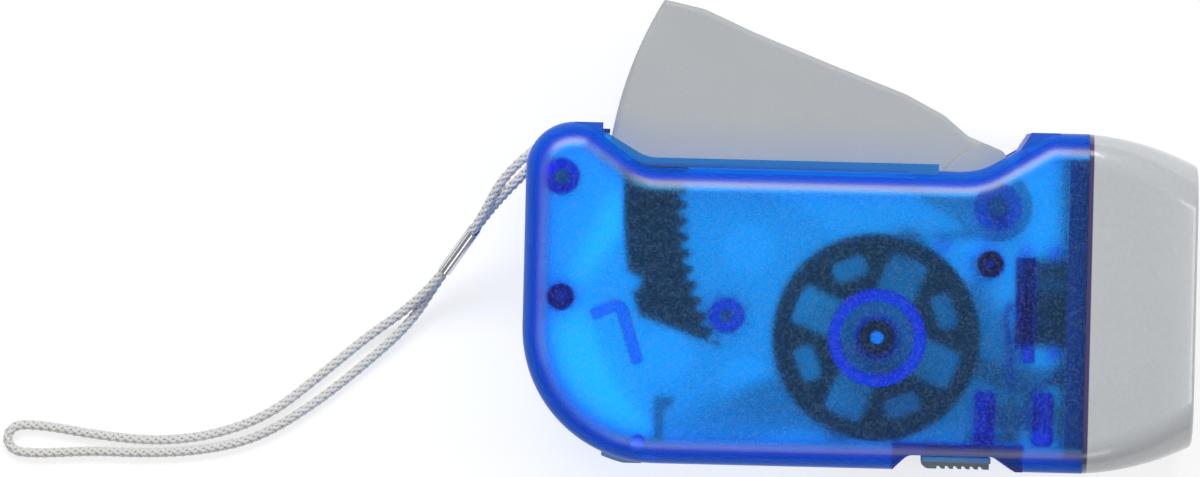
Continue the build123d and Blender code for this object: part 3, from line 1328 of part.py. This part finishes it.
NODES = {
    "front_shell": front_shell, "back_shell": back_shell, "shell_screws": shell_screws,
    "lever": lever, "sector_rack": sector_rack, "rack_screws": rack_screws,
    "pivot_pin": pivot_pin, "return_spring": return_spring,
    "double_gear": double_gear, "gear_axle": gear_axle,
    "clutch_pinion": clutch_pinion, "thrust_washer": thrust_washer,
    "flywheel": flywheel, "clutch_hub": clutch_hub, "spindle": spindle,
    "front_bush": front_bush, "back_bush": back_bush, "ring_magnet": ring_magnet,
    "lower_pole_plate": lower_pole_plate, "upper_pole_plate": upper_pole_plate,
    "coil_bobbin": coil_bobbin, "coil_winding": coil_winding, "stator_screws": stator_screws,
    "switch_case": switch_case, "switch_terminals": switch_terminals, "switch_nib": switch_nib,
    "switch_knob": switch_knob, "lock_slider": lock_slider,
    "lens_bezel": lens_bezel, "lens": lens, "reflector": reflector,
    "led_board": led_board, "board_screws": board_screws, "led_lamps": led_lamps, "led_legs": led_legs,
    "button_cells": button_cells, "cell_sleeve": cell_sleeve, "cell_contacts": cell_contacts,
    "switch_leads": switch_leads, "coil_leads": coil_leads,
    "strap_cord": strap_cord, "strap_bight": strap_bight, "strap_pin": strap_pin,
    "strap_ferrule": strap_ferrule,
}


os.makedirs("parts", exist_ok=True)
for name, make in NODES.items():
    shape = make()
    if isinstance(shape, list):
        shape = Compound(children=[piece.solid() for piece in shape])
    export_step(shape, f"parts/{name}.step")
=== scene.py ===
# %% [markdown]
# # A squeeze dynamo flashlight, dressed in Blender
# The light lies on a pale table and is seen from straight above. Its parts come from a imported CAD
# model, so every shape is already in place, in metres. This lesson gives each part its finish and
# makes the one soft piece, the braided wrist strap.

# %% Load the fixed frame
import math

import bpy
import numpy as np
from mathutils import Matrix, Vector


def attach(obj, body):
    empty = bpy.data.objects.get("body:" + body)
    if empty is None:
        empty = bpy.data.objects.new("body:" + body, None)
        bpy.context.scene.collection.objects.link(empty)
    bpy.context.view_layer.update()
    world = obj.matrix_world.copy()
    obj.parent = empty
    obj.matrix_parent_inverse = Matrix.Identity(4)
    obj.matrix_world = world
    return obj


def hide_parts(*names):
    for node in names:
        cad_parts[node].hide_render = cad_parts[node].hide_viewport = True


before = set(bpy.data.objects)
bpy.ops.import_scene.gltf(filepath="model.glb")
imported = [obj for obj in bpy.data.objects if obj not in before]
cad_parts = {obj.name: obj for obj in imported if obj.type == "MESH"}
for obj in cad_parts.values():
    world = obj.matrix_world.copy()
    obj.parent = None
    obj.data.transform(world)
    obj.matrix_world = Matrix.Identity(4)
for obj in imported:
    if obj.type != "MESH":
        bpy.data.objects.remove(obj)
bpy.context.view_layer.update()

# %% [markdown]
# ## The camera
# The photograph was taken from far above with a long lens, so parallel edges stay parallel. The light
# was turned by a little more than a degree in the picture. The model could be turned to match, but a
# camera that is rolled by that angle shows the same view, and the model keeps its straight axes. The
# picture's scale holds at the seam between the two shells, half way up.

# %% Place the camera
MM = 0.001
PHOTO_WIDTH = 1200
PHOTO_HEIGHT = 477
PIXELS_PER_MM = 6.36
SPINDLE_PIXEL = (875, 337)
ROLL = math.radians(1.4)
FOCAL_MM = 400
SENSOR_MM = 36
CLIP_DISTANCES = 4
SEAM_HEIGHT = 17 * MM


def photo_place(x, y):
    """The place on the model, in metres, of a pixel of the photograph."""
    right = (x - SPINDLE_PIXEL[0]) / PIXELS_PER_MM * MM
    up = (SPINDLE_PIXEL[1] - y) / PIXELS_PER_MM * MM
    cosine, sine = math.cos(ROLL), math.sin(ROLL)
    return right * cosine - up * sine, right * sine + up * cosine


view_width = PHOTO_WIDTH / PIXELS_PER_MM * MM
distance = view_width * FOCAL_MM / SENSOR_MM
camera_data = bpy.data.cameras.new("camera")
camera_data.lens = FOCAL_MM
camera_data.sensor_width = SENSOR_MM
camera_data.clip_end = CLIP_DISTANCES * distance
camera = bpy.data.objects.new("camera", camera_data)
centre_x, centre_y = photo_place(PHOTO_WIDTH / 2, PHOTO_HEIGHT / 2)
camera.location = (centre_x, centre_y, SEAM_HEIGHT + distance)
camera.rotation_euler = (0, 0, ROLL)
bpy.context.scene.collection.objects.link(camera)
bpy.context.scene.camera = camera
print("camera height", round(camera.location.z, 3), "m, view", round(view_width, 4), "m wide")

# %% [markdown]
# ## Shader maths as Python
# A material's pattern is arithmetic on sockets. It could be written node by node, but a small class
# that wraps a socket makes it readable: an expression such as `1 - mask * 0.3` adds the Math nodes by
# itself. Any other node comes from one method of the material.


# %% Wrap a socket
class Value:
    """A socket that a material computes. Python's operators add Math nodes to it."""

    def __init__(self, finish, socket):
        self.finish = finish
        self.socket = socket

    def math(self, operation, *terms):
        return self.finish.node("ShaderNodeMath", {"operation": operation}, dict(enumerate(terms)))

    def __add__(self, other):
        return self.math("ADD", self, other)

    def __radd__(self, other):
        return self.math("ADD", other, self)

    def __sub__(self, other):
        return self.math("SUBTRACT", self, other)

    def __rsub__(self, other):
        return self.math("SUBTRACT", other, self)

    def __mul__(self, other):
        return self.math("MULTIPLY", self, other)

    def __rmul__(self, other):
        return self.math("MULTIPLY", other, self)

    def above(self, level, soft):
        """0 below the level and 1 above it, with a soft step of that width."""
        limits = {"Value": self, "From Min": level - soft / 2, "From Max": level + soft / 2}
        return self.finish.node("ShaderNodeMapRange", {"interpolation_type": "SMOOTHSTEP"}, limits)


print("a value has the operators + - * and above()")

# %% [markdown]
# ## A material with short ways to add nodes
# Every finish below starts from one main surface shader. Its constant looks are set on that shader's
# own sockets, and what changes over the surface is plugged in afterwards.

# %% Wrap a material
BEVEL_SAMPLES = 4
MIX_LOW, MIX_HIGH, MIX_COLOUR = 6, 7, 2


class Finish:
    """A material with one main surface shader and short ways to add nodes to it."""

    def __init__(self, name, **sockets):
        self.material = bpy.data.materials.new(name)
        self.material.use_nodes = True
        self.tree = self.material.node_tree
        self.surface = self.tree.nodes["Principled BSDF"]
        self.main = Value(self, self.surface.outputs["BSDF"])
        self.output = self.tree.nodes["Material Output"]
        self.set(**sockets)

    def plug(self, socket, value):
        if isinstance(value, Value):
            self.tree.links.new(value.socket, socket)
        else:
            socket.default_value = value

    def tune(self, shader, sockets):
        """Sets a shader's sockets, whose names are written in Python's way, such as base_color."""
        for name, value in sockets.items():
            label = name.replace("_", " ").title().replace("Ior", "IOR")
            self.plug(shader.inputs[label], value)

    def set(self, **sockets):
        self.tune(self.surface, sockets)

    def node(self, kind, settings=None, inputs=None, output=0):
        made = self.tree.nodes.new(kind)
        for name, value in (settings or {}).items():
            setattr(made, name, value)
        for name, value in (inputs or {}).items():
            self.plug(made.inputs[name], value)
        return Value(self, made.outputs[output])

    def shader(self, **sockets):
        """One more surface shader, to blend with the main one."""
        made = self.node("ShaderNodeBsdfPrincipled")
        self.tune(made.socket.node, sockets)
        return made

    def place(self):
        return self.node("ShaderNodeTexCoord", output="Object")

    def axis(self, letter, vector=None):
        """One axis of the place, or of another vector."""
        return self.node("ShaderNodeSeparateXYZ", inputs={0: vector or self.place()}, output=letter)

    def noise(self, size, detail=2.0, stretch=(1, 1, 1)):
        """Noise from 0 to 1 with features of about this size, in metres."""
        stretched = self.node("ShaderNodeVectorMath", {"operation": "MULTIPLY"},
                              {0: self.place(), 1: stretch})
        return self.node("ShaderNodeTexNoise",
                         inputs={"Vector": stretched, "Scale": 1 / size, "Detail": detail})

    def mix(self, factor, low, high):
        """A colour between two, by a value from 0 to 1."""
        return self.node("ShaderNodeMix", {"data_type": "RGBA"},
                         {"Factor": factor, MIX_LOW: low, MIX_HIGH: high}, MIX_COLOUR)

    def shade(self, factor, low, high):
        """A colour between two plain ones, by a value from 0 to 1."""
        return self.mix(factor, (*low, 1), (*high, 1))

    def bump(self, height, depth, normal=None):
        inputs = {"Height": height, "Distance": depth, "Strength": 1.0}
        if normal is not None:
            inputs["Normal"] = normal
        return self.node("ShaderNodeBump", inputs=inputs)

    def bevel(self, radius):
        return self.node("ShaderNodeBevel", {"samples": BEVEL_SAMPLES}, {"Radius": radius})

    def blend(self, factor, first, second):
        """A mix of two surface shaders."""
        return self.node("ShaderNodeMixShader", inputs={0: factor, 1: first, 2: second})

    def thin_shadow(self, share, shader=None, tint=(1, 1, 1, 1)):
        """Lets that share of the lamps' light on through the piece, as milky plastic does."""
        clear = self.node("ShaderNodeBsdfTransparent", inputs={"Color": tint})
        lamp_ray = self.node("ShaderNodeLightPath", output="Is Shadow Ray")
        shaded = self.blend(lamp_ray * share, shader or self.main, clear)
        self.plug(self.output.inputs["Surface"], shaded)


def linear(red, green, blue):
    """The linear colour of three screen values from 0 to 255."""
    shares = [value / 255 for value in (red, green, blue)]
    return tuple(((s + 0.055) / 1.055) ** 2.4 if s > 0.04045 else s / 12.92 for s in shares)


def scaled(tone, share):
    """The same colour, darker or lighter."""
    return tuple(min(1, part * share) for part in tone)


def dress(material, *names):
    """Gives CAD nodes a material, and leaves their meshes alone."""
    for name in names:
        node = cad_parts[name]
        node.data.materials.clear()
        node.data.materials.append(material)


print("a screen's middle grey is", round(linear(128, 128, 128)[0], 3), "in linear light")

# %% [markdown]
# ## Lamps
# The photograph has soft light from all sides. A long softbox beyond the lever gives the shoulder of the
# casing its pale band, and weaker panels stand on the other three sides. They could hang overhead, but
# the broad frosted face is seen straight on and would mirror them, so they stand low.

# %% Hang the lamps
LAMP_TARGET = Vector((0, 0, 0.02))
LAMPS = [
    ("key_softbox", (-0.15, 0.66, 0.62), (0.95, 0.30), 6.0),
    ("side_softbox", (0.80, 0.05, 0.60), (0.25, 0.60), 2.0),
    ("fill_panel", (0.05, -0.80, 0.60), (0.80, 0.25), 1.4),
    ("tail_panel", (-0.90, -0.10, 0.55), (0.25, 0.60), 0.7),
]
WORLD_STRENGTH = 0.28

for name, place, size, power in LAMPS:
    data = bpy.data.lights.new(name, "AREA")
    data.shape = "RECTANGLE"
    data.size, data.size_y = size
    data.energy = power
    lamp = bpy.data.objects.new(name, data)
    lamp.location = place
    lamp.rotation_euler = (LAMP_TARGET - Vector(place)).to_track_quat("-Z", "Y").to_euler()
    bpy.context.scene.collection.objects.link(lamp)

world = bpy.data.worlds.new("studio")
world.use_nodes = True
background = world.node_tree.nodes["Background"]
background.inputs["Color"].default_value = (1, 1, 1, 1)
background.inputs["Strength"].default_value = WORLD_STRENGTH
bpy.context.scene.world = world
bpy.context.scene.view_settings.view_transform = "Standard"

# %% [markdown]
# ## The table
# The photograph's ground is white. Stronger lamps would whiten a table, but they would burn out the
# grey plastic too, so the table is grey, and a glow of its own lifts it to white. Only the camera and
# rays through clear or shiny parts see that glow. A ray that the frosted casing bends counts as glossy
# and as transmitted, so the glow shows twice as bright through the casing, and its blue is set for that.

# %% Lay the table
FLOOR_HALF = 3.0
FLOOR_GREY = (0.40, 0.40, 0.40, 1)
FLOOR_GLOW = 0.70
SEEN_BY = ("Is Camera Ray", "Is Glossy Ray", "Is Transmission Ray")

floor_finish = Finish("table", base_color=FLOOR_GREY, roughness=0.8, specular_ior_level=0.1)
seen = sum((floor_finish.node("ShaderNodeLightPath", output=ray) for ray in SEEN_BY), 0)
floor_finish.set(emission_color=seen * FLOOR_GLOW, emission_strength=1.0)
floor_mesh = bpy.data.meshes.new("table")
corners = [(x * FLOOR_HALF, y * FLOOR_HALF, 0) for x, y in ((-1, -1), (1, -1), (1, 1), (-1, 1))]
floor_mesh.from_pydata(corners, [], [(0, 1, 2, 3)])
floor = bpy.data.objects.new("table", floor_mesh)
floor.data.materials.append(floor_finish.material)
bpy.context.scene.collection.objects.link(floor)
print("table", [round(side, 2) for side in floor.dimensions])

# %% [markdown]
# ## The wrist strap's route
# The strap is one braided cord, folded in half, with both legs pinched in a metal ferrule and passed
# through the tail of the casing. Straight runs would look like bent wire, so its route is a smooth
# NURBS curve, whose control points are those of the CAD model's tube.

# %% Lay the strap's route
STRAP_ROUTE_MM = [
    (-54.95, 27.5, 17.0), (-58.9, 24.3, 16.2), (-62.5, 16.7, 11.33), (-69.27, 6.95, 5.33),
    (-74.2, 2.2, 2.4), (-80.0, -1.96, 0.9), (-87.1, -8.1, 0.82), (-95.1, -14.75, 0.82),
    (-103.85, -18.2, 0.82), (-113.1, -19.45, 0.82), (-123.2, -18.55, 0.82), (-129.0, -17.6, 0.82),
    (-132.8, -17.25, 0.82), (-135.7, -17.4, 0.82), (-136.95, -19.4, 0.82), (-135.75, -21.45, 0.82),
    (-132.9, -21.75, 0.82), (-129.0, -21.6, 0.82), (-123.0, -21.15, 0.82), (-114.5, -21.35, 0.82),
    (-105.5, -20.65, 0.82), (-97.0, -18.5, 0.82), (-88.8, -13.3, 0.82), (-81.0, -6.95, 0.82),
    (-73.3, 0.2, 1.4), (-68.85, 7.55, 3.87), (-62.08, 17.3, 9.87), (-58.2, 21.9, 15.7),
    (-55.2, 24.9, 17.0),
]
STRAP_WIDTH = 1.6 * MM
STRAP_STEP = 0.3 * MM
ROUTE_ORDER = 3
ROUTE_RESOLUTION = 16


def route_line(points_mm):
    """Points along the smooth NURBS line of a route, in metres."""
    curve = bpy.data.curves.new("route", "CURVE")
    curve.dimensions = "3D"
    spline = curve.splines.new("NURBS")
    spline.points.add(len(points_mm) - 1)
    for point, place in zip(spline.points, points_mm):
        point.co = (*(c * MM for c in place), 1)
    spline.order_u = ROUTE_ORDER
    spline.use_endpoint_u = True
    curve.resolution_u = ROUTE_RESOLUTION
    holder = bpy.data.objects.new("route", curve)
    mesh = bpy.data.meshes.new_from_object(holder)
    line = np.array([vertex.co[:] for vertex in mesh.vertices])
    bpy.data.meshes.remove(mesh)
    bpy.data.objects.remove(holder)
    bpy.data.curves.remove(curve)
    return line


def even_steps(line, step):
    """The same line with points at even steps, and the length along it at each."""
    run = np.concatenate([[0], np.cumsum(np.linalg.norm(np.diff(line, axis=0), axis=1))])
    marks = np.linspace(0, run[-1], round(run[-1] / step) + 1)
    return np.stack([np.interp(marks, run, line[:, axis]) for axis in range(3)], axis=1), marks


strap_line, strap_marks = even_steps(route_line(STRAP_ROUTE_MM), STRAP_STEP)

# %% [markdown]
# ## The braid
# The cord has eight yarns. Four wind one way and four the other, and each passes over and under the
# ones that it meets. A bump map could draw them on a tube, but the outline would stay smooth. Here a
# yarn is a flattened tube round a helix whose radius rises and falls, and a thin core fills the middle,
# as in a real cord. Its sizes are shares of the cord's width.

# %% Braid tubes round a line
YARNS_EACH_WAY = 4
PITCH_SHARE = 3.4
YARN_CIRCLE_SHARE = 0.33
LIFT_SHARE = 0.065
YARN_WIDE_SHARE = 0.20
YARN_THIN_SHARE = 0.11
YARN_SIDES = 6
CORE_SHARE = 0.30
CORE_SIDES = 8
FULL_TURN = 2 * math.pi


def sideways(line):
    """Two unit directions across the line at each point, which turn as little as they can."""
    ways = np.gradient(line, axis=0)
    ways /= np.linalg.norm(ways, axis=1)[:, None]
    first = np.cross(ways[0], (0, 0, 1))
    across = [first / np.linalg.norm(first)]
    for way in ways[1:]:
        side = across[-1] - way * np.dot(across[-1], way)
        across.append(side / np.linalg.norm(side))
    across = np.array(across)
    return across, np.cross(ways, across)


def tube(centres, wide_way, thin_way, wide, thin, sides):
    """Vertices and faces of a tube with an oval section round a line of centres."""
    angles = np.linspace(0, FULL_TURN, sides, endpoint=False)
    oval = wide * np.cos(angles)[None, :, None] * wide_way[:, None, :]
    oval = oval + thin * np.sin(angles)[None, :, None] * thin_way[:, None, :]
    vertices = (centres[:, None, :] + oval).reshape(-1, 3)
    last = (len(centres) - 1) * sides
    faces = []
    for ring in range(0, last, sides):
        for side in range(sides):
            beside = (side + 1) % sides
            faces.append((ring + side, ring + beside, ring + sides + beside, ring + sides + side))
    faces += [tuple(range(sides))[::-1], tuple(range(last, last + sides))]
    return vertices, faces


def braid(line, marks, width):
    """The core and the yarns of a braided cord, each as vertices and faces."""
    across, up = sideways(line)
    core = CORE_SHARE * width
    tubes = [tube(line, across, up, core, core, CORE_SIDES)]
    winding = FULL_TURN * marks / (PITCH_SHARE * width)
    for hand in (1, -1):
        lift = hand * LIFT_SHARE * width * np.cos(YARNS_EACH_WAY * winding)
        radius = YARN_CIRCLE_SHARE * width + lift
        for yarn in range(YARNS_EACH_WAY):
            turn = hand * winding + FULL_TURN * yarn / YARNS_EACH_WAY
            out = across * np.cos(turn)[:, None] + up * np.sin(turn)[:, None]
            along = up * np.cos(turn)[:, None] - across * np.sin(turn)[:, None]
            centres = line + out * radius[:, None]
            wide, thin = YARN_WIDE_SHARE * width, YARN_THIN_SHARE * width
            tubes.append(tube(centres, along, out, wide, thin, YARN_SIDES))
    return tubes


strap_tubes = braid(strap_line, strap_marks, STRAP_WIDTH)
print("tubes in the braid", len(strap_tubes))

# %% [markdown]
# ## One soft piece
# The tubes become one mesh. It rides on the housing, where both of its ends are held, and stands for
# the plain tube of the CAD model.


def joined(name, tubes):
    """One smooth mesh object of all the tubes."""
    vertices, faces = [], []
    for points, quads in tubes:
        start = len(vertices)
        vertices += points.tolist()
        faces += [tuple(start + i for i in face) for face in quads]
    mesh = bpy.data.meshes.new(name)
    mesh.from_pydata(vertices, [], faces)
    mesh.polygons.foreach_set("use_smooth", [True] * len(mesh.polygons))
    made = bpy.data.objects.new(name, mesh)
    bpy.context.scene.collection.objects.link(made)
    return made


strap = joined("wrist_strap", strap_tubes)
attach(strap, "housing")
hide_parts("strap_cord")
print("strap faces", len(strap.data.polygons))

# %% [markdown]
# ## Where the casing is grained, polished or steep
# The casing's broad faces have a fine spark-eroded grain, and its shoulders are polished. Painted
# vertex groups could mark them, but the CAD mesh stays as it is, so masks are worked out from a
# point's height and from the way that it faces. Both are squared, so that the two shells count alike.
# The height is then 0 at the seam and 1 on the broad faces, and flat is 1 where a face is level.


# %% Work out the casing's zones
def casing_zones(finish):
    """Masks from 0 to 1, by name."""
    from_seam = (finish.axis("Z") - SEAM_HEIGHT) * (1 / SEAM_HEIGHT)
    height = from_seam * from_seam
    level = finish.axis("Z", finish.node("ShaderNodeTexCoord", output="Normal"))
    flat = level * level
    # The ring moulded round the spindle ends 13.5 mm from the seam. The lip's flat sides and the
    # seats of the two screws in the back shell lie at nearly that height, and count as well.
    ring_end = (flat.above(0.96, soft=0.04) * height.above(0.58, soft=0.01)
                * (1 - height.above(0.65, soft=0.01)))
    return {
        "grained": height.above(0.84, soft=0.06),
        "shoulder": height.above(0.42, soft=0.20),
        "steep": 1 - flat.above(0.46, soft=0.72),
        "polished": flat.above(0.68, soft=0.30),
        "broad": flat.above(0.93, soft=0.10) * height.above(0.96, soft=0.03),
        "ring_end": ring_end,
    }


print("zones are measured from the seam,", SEAM_HEIGHT, "m above the table")

# %% [markdown]
# ## Frosted translucent blue
# The casing is clear plastic, dyed blue all through. A tinted transparent shader would be quick, but a
# thick boss would then look no deeper than the thin wall. Here the surface bends and scatters the light
# a little, and the dye inside absorbs red and some green for every millimetre that the light travels,
# so bosses and ribs turn deep blue by themselves. The rounded shoulders would carry light round inside
# them many times, so they are mostly a plain deep blue, and the side walls below them stay see-through.
# The grain also throws back a little light, which greys the dark parts behind it, and a bevelled normal
# lets the sharp edges catch the lamps.

# %% Make the casing's finish
CASING_TINT = (0.9, 0.62, 0.93, 1)
CASING_POLISH = {"coat_roughness": 0.34, "coat_ior": 1.75}
CASING_EDGE = 0.6 * MM
DYE_COLOUR = (0.0, 0.92, 1.0, 1)
DYE_DENSITY = 1500
DEEP_BLUE = (0.0, 0.11, 0.68, 1)
GRAIN_HAZE = (0.28, 0.38, 0.55, 1)
GRAIN_SIZE = 0.36 * MM
GRAIN_DEPTH = 0.03 * MM
SHADOW_TINT = (0.97, 0.97, 0.97, 1)


def frosted_blue():
    finish = Finish("frosted_blue", base_color=CASING_TINT, transmission_weight=1.0, ior=1.25,
                    **CASING_POLISH)
    zone = casing_zones(finish)
    grain = finish.noise(GRAIN_SIZE, detail=3.0)
    rounded = finish.bevel(CASING_EDGE)
    finish.set(
        roughness=0.10 + zone["grained"] * (0.24 + grain * 0.20) + zone["steep"] * 0.3,
        coat_weight=zone["polished"] - zone["broad"] * 0.85,
        normal=finish.bump(grain * zone["grained"], GRAIN_DEPTH, rounded),
    )
    haze = finish.shader(base_color=GRAIN_HAZE, roughness=0.5, specular_ior_level=0.3)
    speckle = zone["grained"] * (0.005 + 0.09 * grain.above(0.55, soft=0.12))
    frosted = finish.blend(speckle, finish.main, haze)
    solid_blue = finish.shader(base_color=DEEP_BLUE, roughness=0.3, specular_ior_level=0.08,
                               coat_weight=zone["polished"], normal=rounded, **CASING_POLISH)
    solid = zone["steep"] * (0.20 + 0.65 * zone["shoulder"]) + zone["ring_end"] * 0.8
    finish.thin_shadow(1.0, finish.blend(solid, frosted, solid_blue), SHADOW_TINT)
    dye = finish.node("ShaderNodeVolumeAbsorption", inputs={"Color": DYE_COLOUR, "Density": DYE_DENSITY})
    finish.plug(finish.output.inputs["Volume"], dye)
    return finish.material


dress(frosted_blue(), "front_shell", "back_shell")
print("casing dressed")

# %% [markdown]
# ## Grey mouldings
# The lever is satin silver-grey plastic with a faint speckle. The lens bezel is a little lighter, and
# polished, so that it mirrors the lamps. The two sliders are darker. One flat grey would look like a
# drawing, so a fine speckle and a large soft cloud both shift the tone. The bezel's spigot reaches into
# the casing, where the blue wall shades and tints it, and that shade is painted on the spigot as a
# duller, slightly violet colour of its own.

# %% Make the grey finishes
CLOUD_SIZE = 14 * MM
MOULDED_EDGE = 0.5 * MM
SPIGOT_SOFT = 0.2 * MM
# Painted shade: the duller violet of the spigot where the blue casing shades it.
SPIGOT_PAINTED_SHADE = (*linear(70, 60, 110), 1)


def grey_moulding(name, tone, roughness, grain_size, grain_depth, coat=0.0, spigot_x=None):
    finish = Finish(name, ior=1.49, coat_weight=coat, coat_roughness=0.08)
    speckle = finish.noise(grain_size, detail=4.0)
    cloud = finish.noise(CLOUD_SIZE)
    colour = finish.shade(speckle * 0.6 + cloud * 0.4, scaled(tone, 0.86), scaled(tone, 1.10))
    # Painted shade: inside the casing the spigot takes the violet shade colour in place of the bezel's
    # grey.
    if spigot_x is not None:
        outside = finish.axis("X").above(spigot_x, SPIGOT_SOFT)
        colour = finish.mix(outside, SPIGOT_PAINTED_SHADE, colour)
    finish.set(
        base_color=colour,
        roughness=roughness + speckle * 0.08,
        normal=finish.bump(speckle, grain_depth, finish.bevel(MOULDED_EDGE)),
    )
    return finish.material


lever_grey = grey_moulding("lever_grey", linear(182, 186, 189), roughness=0.48,
                           grain_size=0.35 * MM, grain_depth=0.02 * MM)
bezel_silver = grey_moulding("bezel_silver", linear(196, 199, 203), roughness=0.20,
                             grain_size=0.6 * MM, grain_depth=0.002 * MM, coat=0.7, spigot_x=33.2 * MM)
slider_grey = grey_moulding("slider_grey", linear(146, 148, 152), roughness=0.5,
                            grain_size=0.3 * MM, grain_depth=0.02 * MM)
dress(lever_grey, "lever")
dress(bezel_silver, "lens_bezel")
dress(slider_grey, "switch_knob", "lock_slider")
print("grey parts dressed")

# %% [markdown]
# ## Steel, plating and brass
# Turned pins, springs and washers are bright steel with fine streaks. The flywheel and the pole plates
# are pressed steel, blackened or zinc plated, and dull, so most of what they show is their own colour.
# They could all be one metal, but the photograph shows a dark flywheel behind the blue wall, with
# lighter shapes through its windows. Milky plastic scatters light round what lies in it, which a shadow
# ray doesn't do, so the flywheel and its magnet let most of the lamps' light past.

# %% Make the metal finish
STREAK_STRETCH = (1, 1, 4)
STREAK_DEPTH = 0.005 * MM
STAIN_SIZE = 5 * MM


def metal(name, tone, roughness, grain_size=0.4 * MM, metallic=1.0, lets_past=0.0):
    finish = Finish(name, metallic=metallic)
    streaks = finish.noise(grain_size, 3.0, STREAK_STRETCH)
    stains = finish.noise(STAIN_SIZE, detail=3.0)
    finish.set(
        base_color=finish.shade(stains, scaled(tone, 0.8), tone),
        roughness=roughness + streaks * 0.15,
        normal=finish.bump(streaks, STREAK_DEPTH),
    )
    if lets_past:
        finish.thin_shadow(lets_past)
    return finish.material


dress(metal("bright_steel", linear(205, 207, 210), 0.22), "shell_screws", "rack_screws", "pivot_pin",
      "return_spring", "gear_axle", "thrust_washer", "stator_screws", "board_screws", "strap_pin")
dress(metal("plating", linear(225, 226, 230), 0.10), "strap_ferrule", "led_legs", "cell_contacts",
      "switch_case")
dress(metal("brass", linear(196, 160, 88), 0.25), "back_bush", "switch_terminals")
dress(metal("sintered_bush", linear(46, 44, 42), 0.5), "front_bush")
dress(metal("blackened_steel", linear(40, 40, 44), 0.5, 0.5 * MM, metallic=0.4, lets_past=0.9),
      "flywheel", "ring_magnet")
dress(metal("ground_steel", linear(246, 248, 250), 0.4, 0.3 * MM, metallic=0.3), "spindle")
dress(metal("zinc_plate", linear(240, 243, 247), 0.40, 0.8 * MM, metallic=0.1),
      "lower_pole_plate", "upper_pole_plate")
dress(metal("copper", linear(170, 84, 42), 0.35, 0.3 * MM), "coil_winding")
dress(metal("cell_can", linear(200, 201, 203), 0.25), "button_cells")
print("metal parts dressed")

# %% [markdown]
# ## Inner mouldings
# Gears and the coil bobbin are natural nylon. An opaque white would stand out, but in the photograph
# they can't be told from the blue round them, so the nylon is nearly clear and its shadow is thin. The
# rack and the switch nib are black, and the board, the film round the cells and the wires have colours
# of their own.

# %% Make the inner plastics
MOTTLE_SIZE = 2.5 * MM
FINE_GRAIN = 0.25 * MM
FINE_DEPTH = 0.01 * MM
SHADOW_THINNING = 0.85


def inner_plastic(name, tone, roughness, see_through=0.0):
    finish = Finish(name, ior=1.2 if see_through else 1.5, transmission_weight=see_through)
    mottle = finish.noise(MOTTLE_SIZE, detail=3.0)
    grain = finish.noise(FINE_GRAIN)
    finish.set(
        base_color=finish.shade(mottle, scaled(tone, 0.85), tone),
        roughness=roughness + grain * 0.1,
        normal=finish.bump(grain, FINE_DEPTH),
    )
    if see_through:
        finish.thin_shadow(SHADOW_THINNING * see_through)
    return finish.material


dress(inner_plastic("nylon", linear(253, 254, 253), 0.6, see_through=0.97),
      "double_gear", "clutch_pinion", "coil_bobbin")
# Painted shade: the clutch hub sits deep in the casing's shade, and that shade is painted into its darker
# grey-blue.
dress(inner_plastic("hub_painted_shade", linear(128, 140, 150), 0.4), "clutch_hub")
dress(inner_plastic("black_plastic", linear(30, 30, 34), 0.5), "sector_rack", "switch_nib")
dress(inner_plastic("board_green", linear(30, 96, 60), 0.35), "led_board")
dress(inner_plastic("sleeve_film", linear(58, 62, 70), 0.3), "cell_sleeve")
dress(inner_plastic("lead_blue", linear(40, 90, 190), 0.45), "switch_leads")
dress(inner_plastic("lead_red", linear(170, 40, 36), 0.45), "coil_leads")
print("inner plastics dressed")

# %% [markdown]
# ## Lens, lamps and reflector
# The lens is clear plastic, the lamps are clear epoxy, and the reflector is plastic with a metal skin.
# They could bend light as the casing does. Little of them is seen from above, so they are only partly
# transparent by their alpha, with a gloss of their own.

# %% Make the clear finishes
HAZE_SIZE = 8 * MM


def clear_plastic(name, tone, alpha):
    finish = Finish(name, ior=1.49, alpha=alpha)
    haze = finish.noise(HAZE_SIZE)
    finish.set(base_color=finish.shade(haze, scaled(tone, 0.92), tone), roughness=0.05 + haze * 0.05)
    return finish.material


dress(clear_plastic("lens_clear", (0.92, 0.95, 0.97), alpha=0.22), "lens")
dress(clear_plastic("lamp_epoxy", (0.95, 0.96, 0.90), alpha=0.55), "led_lamps")
dress(metal("mirror_skin", linear(235, 236, 238), 0.06, 2 * MM), "reflector")
print("clear parts dressed")

# %% [markdown]
# ## Strap yarn
# White polyester yarn with fine fibres along it and a little sheen. The yarns are meshes already, so
# the material only adds the fibres and the grey of use. The part of the strap inside the casing is the
# same yarn.

# %% Make the yarn's finish
FIBRE_SIZE = 0.12 * MM
FIBRE_STRETCH = (1, 1, 0.4)
FIBRE_DEPTH = 0.03 * MM
SOIL_SIZE = 9 * MM


def yarn_finish():
    finish = Finish("strap_yarn", roughness=0.75, sheen_weight=0.3, sheen_roughness=0.4)
    fibres = finish.noise(FIBRE_SIZE, 3.0, FIBRE_STRETCH)
    soil = finish.noise(SOIL_SIZE, detail=3.0)
    worn = soil * 0.5 + fibres * 0.5
    finish.set(base_color=finish.shade(worn, linear(214, 212, 208), linear(242, 241, 239)),
               normal=finish.bump(fibres, FIBRE_DEPTH))
    return finish.material


strap_yarn = yarn_finish()
strap.data.materials.append(strap_yarn)
dress(strap_yarn, "strap_bight")
print("strap dressed")
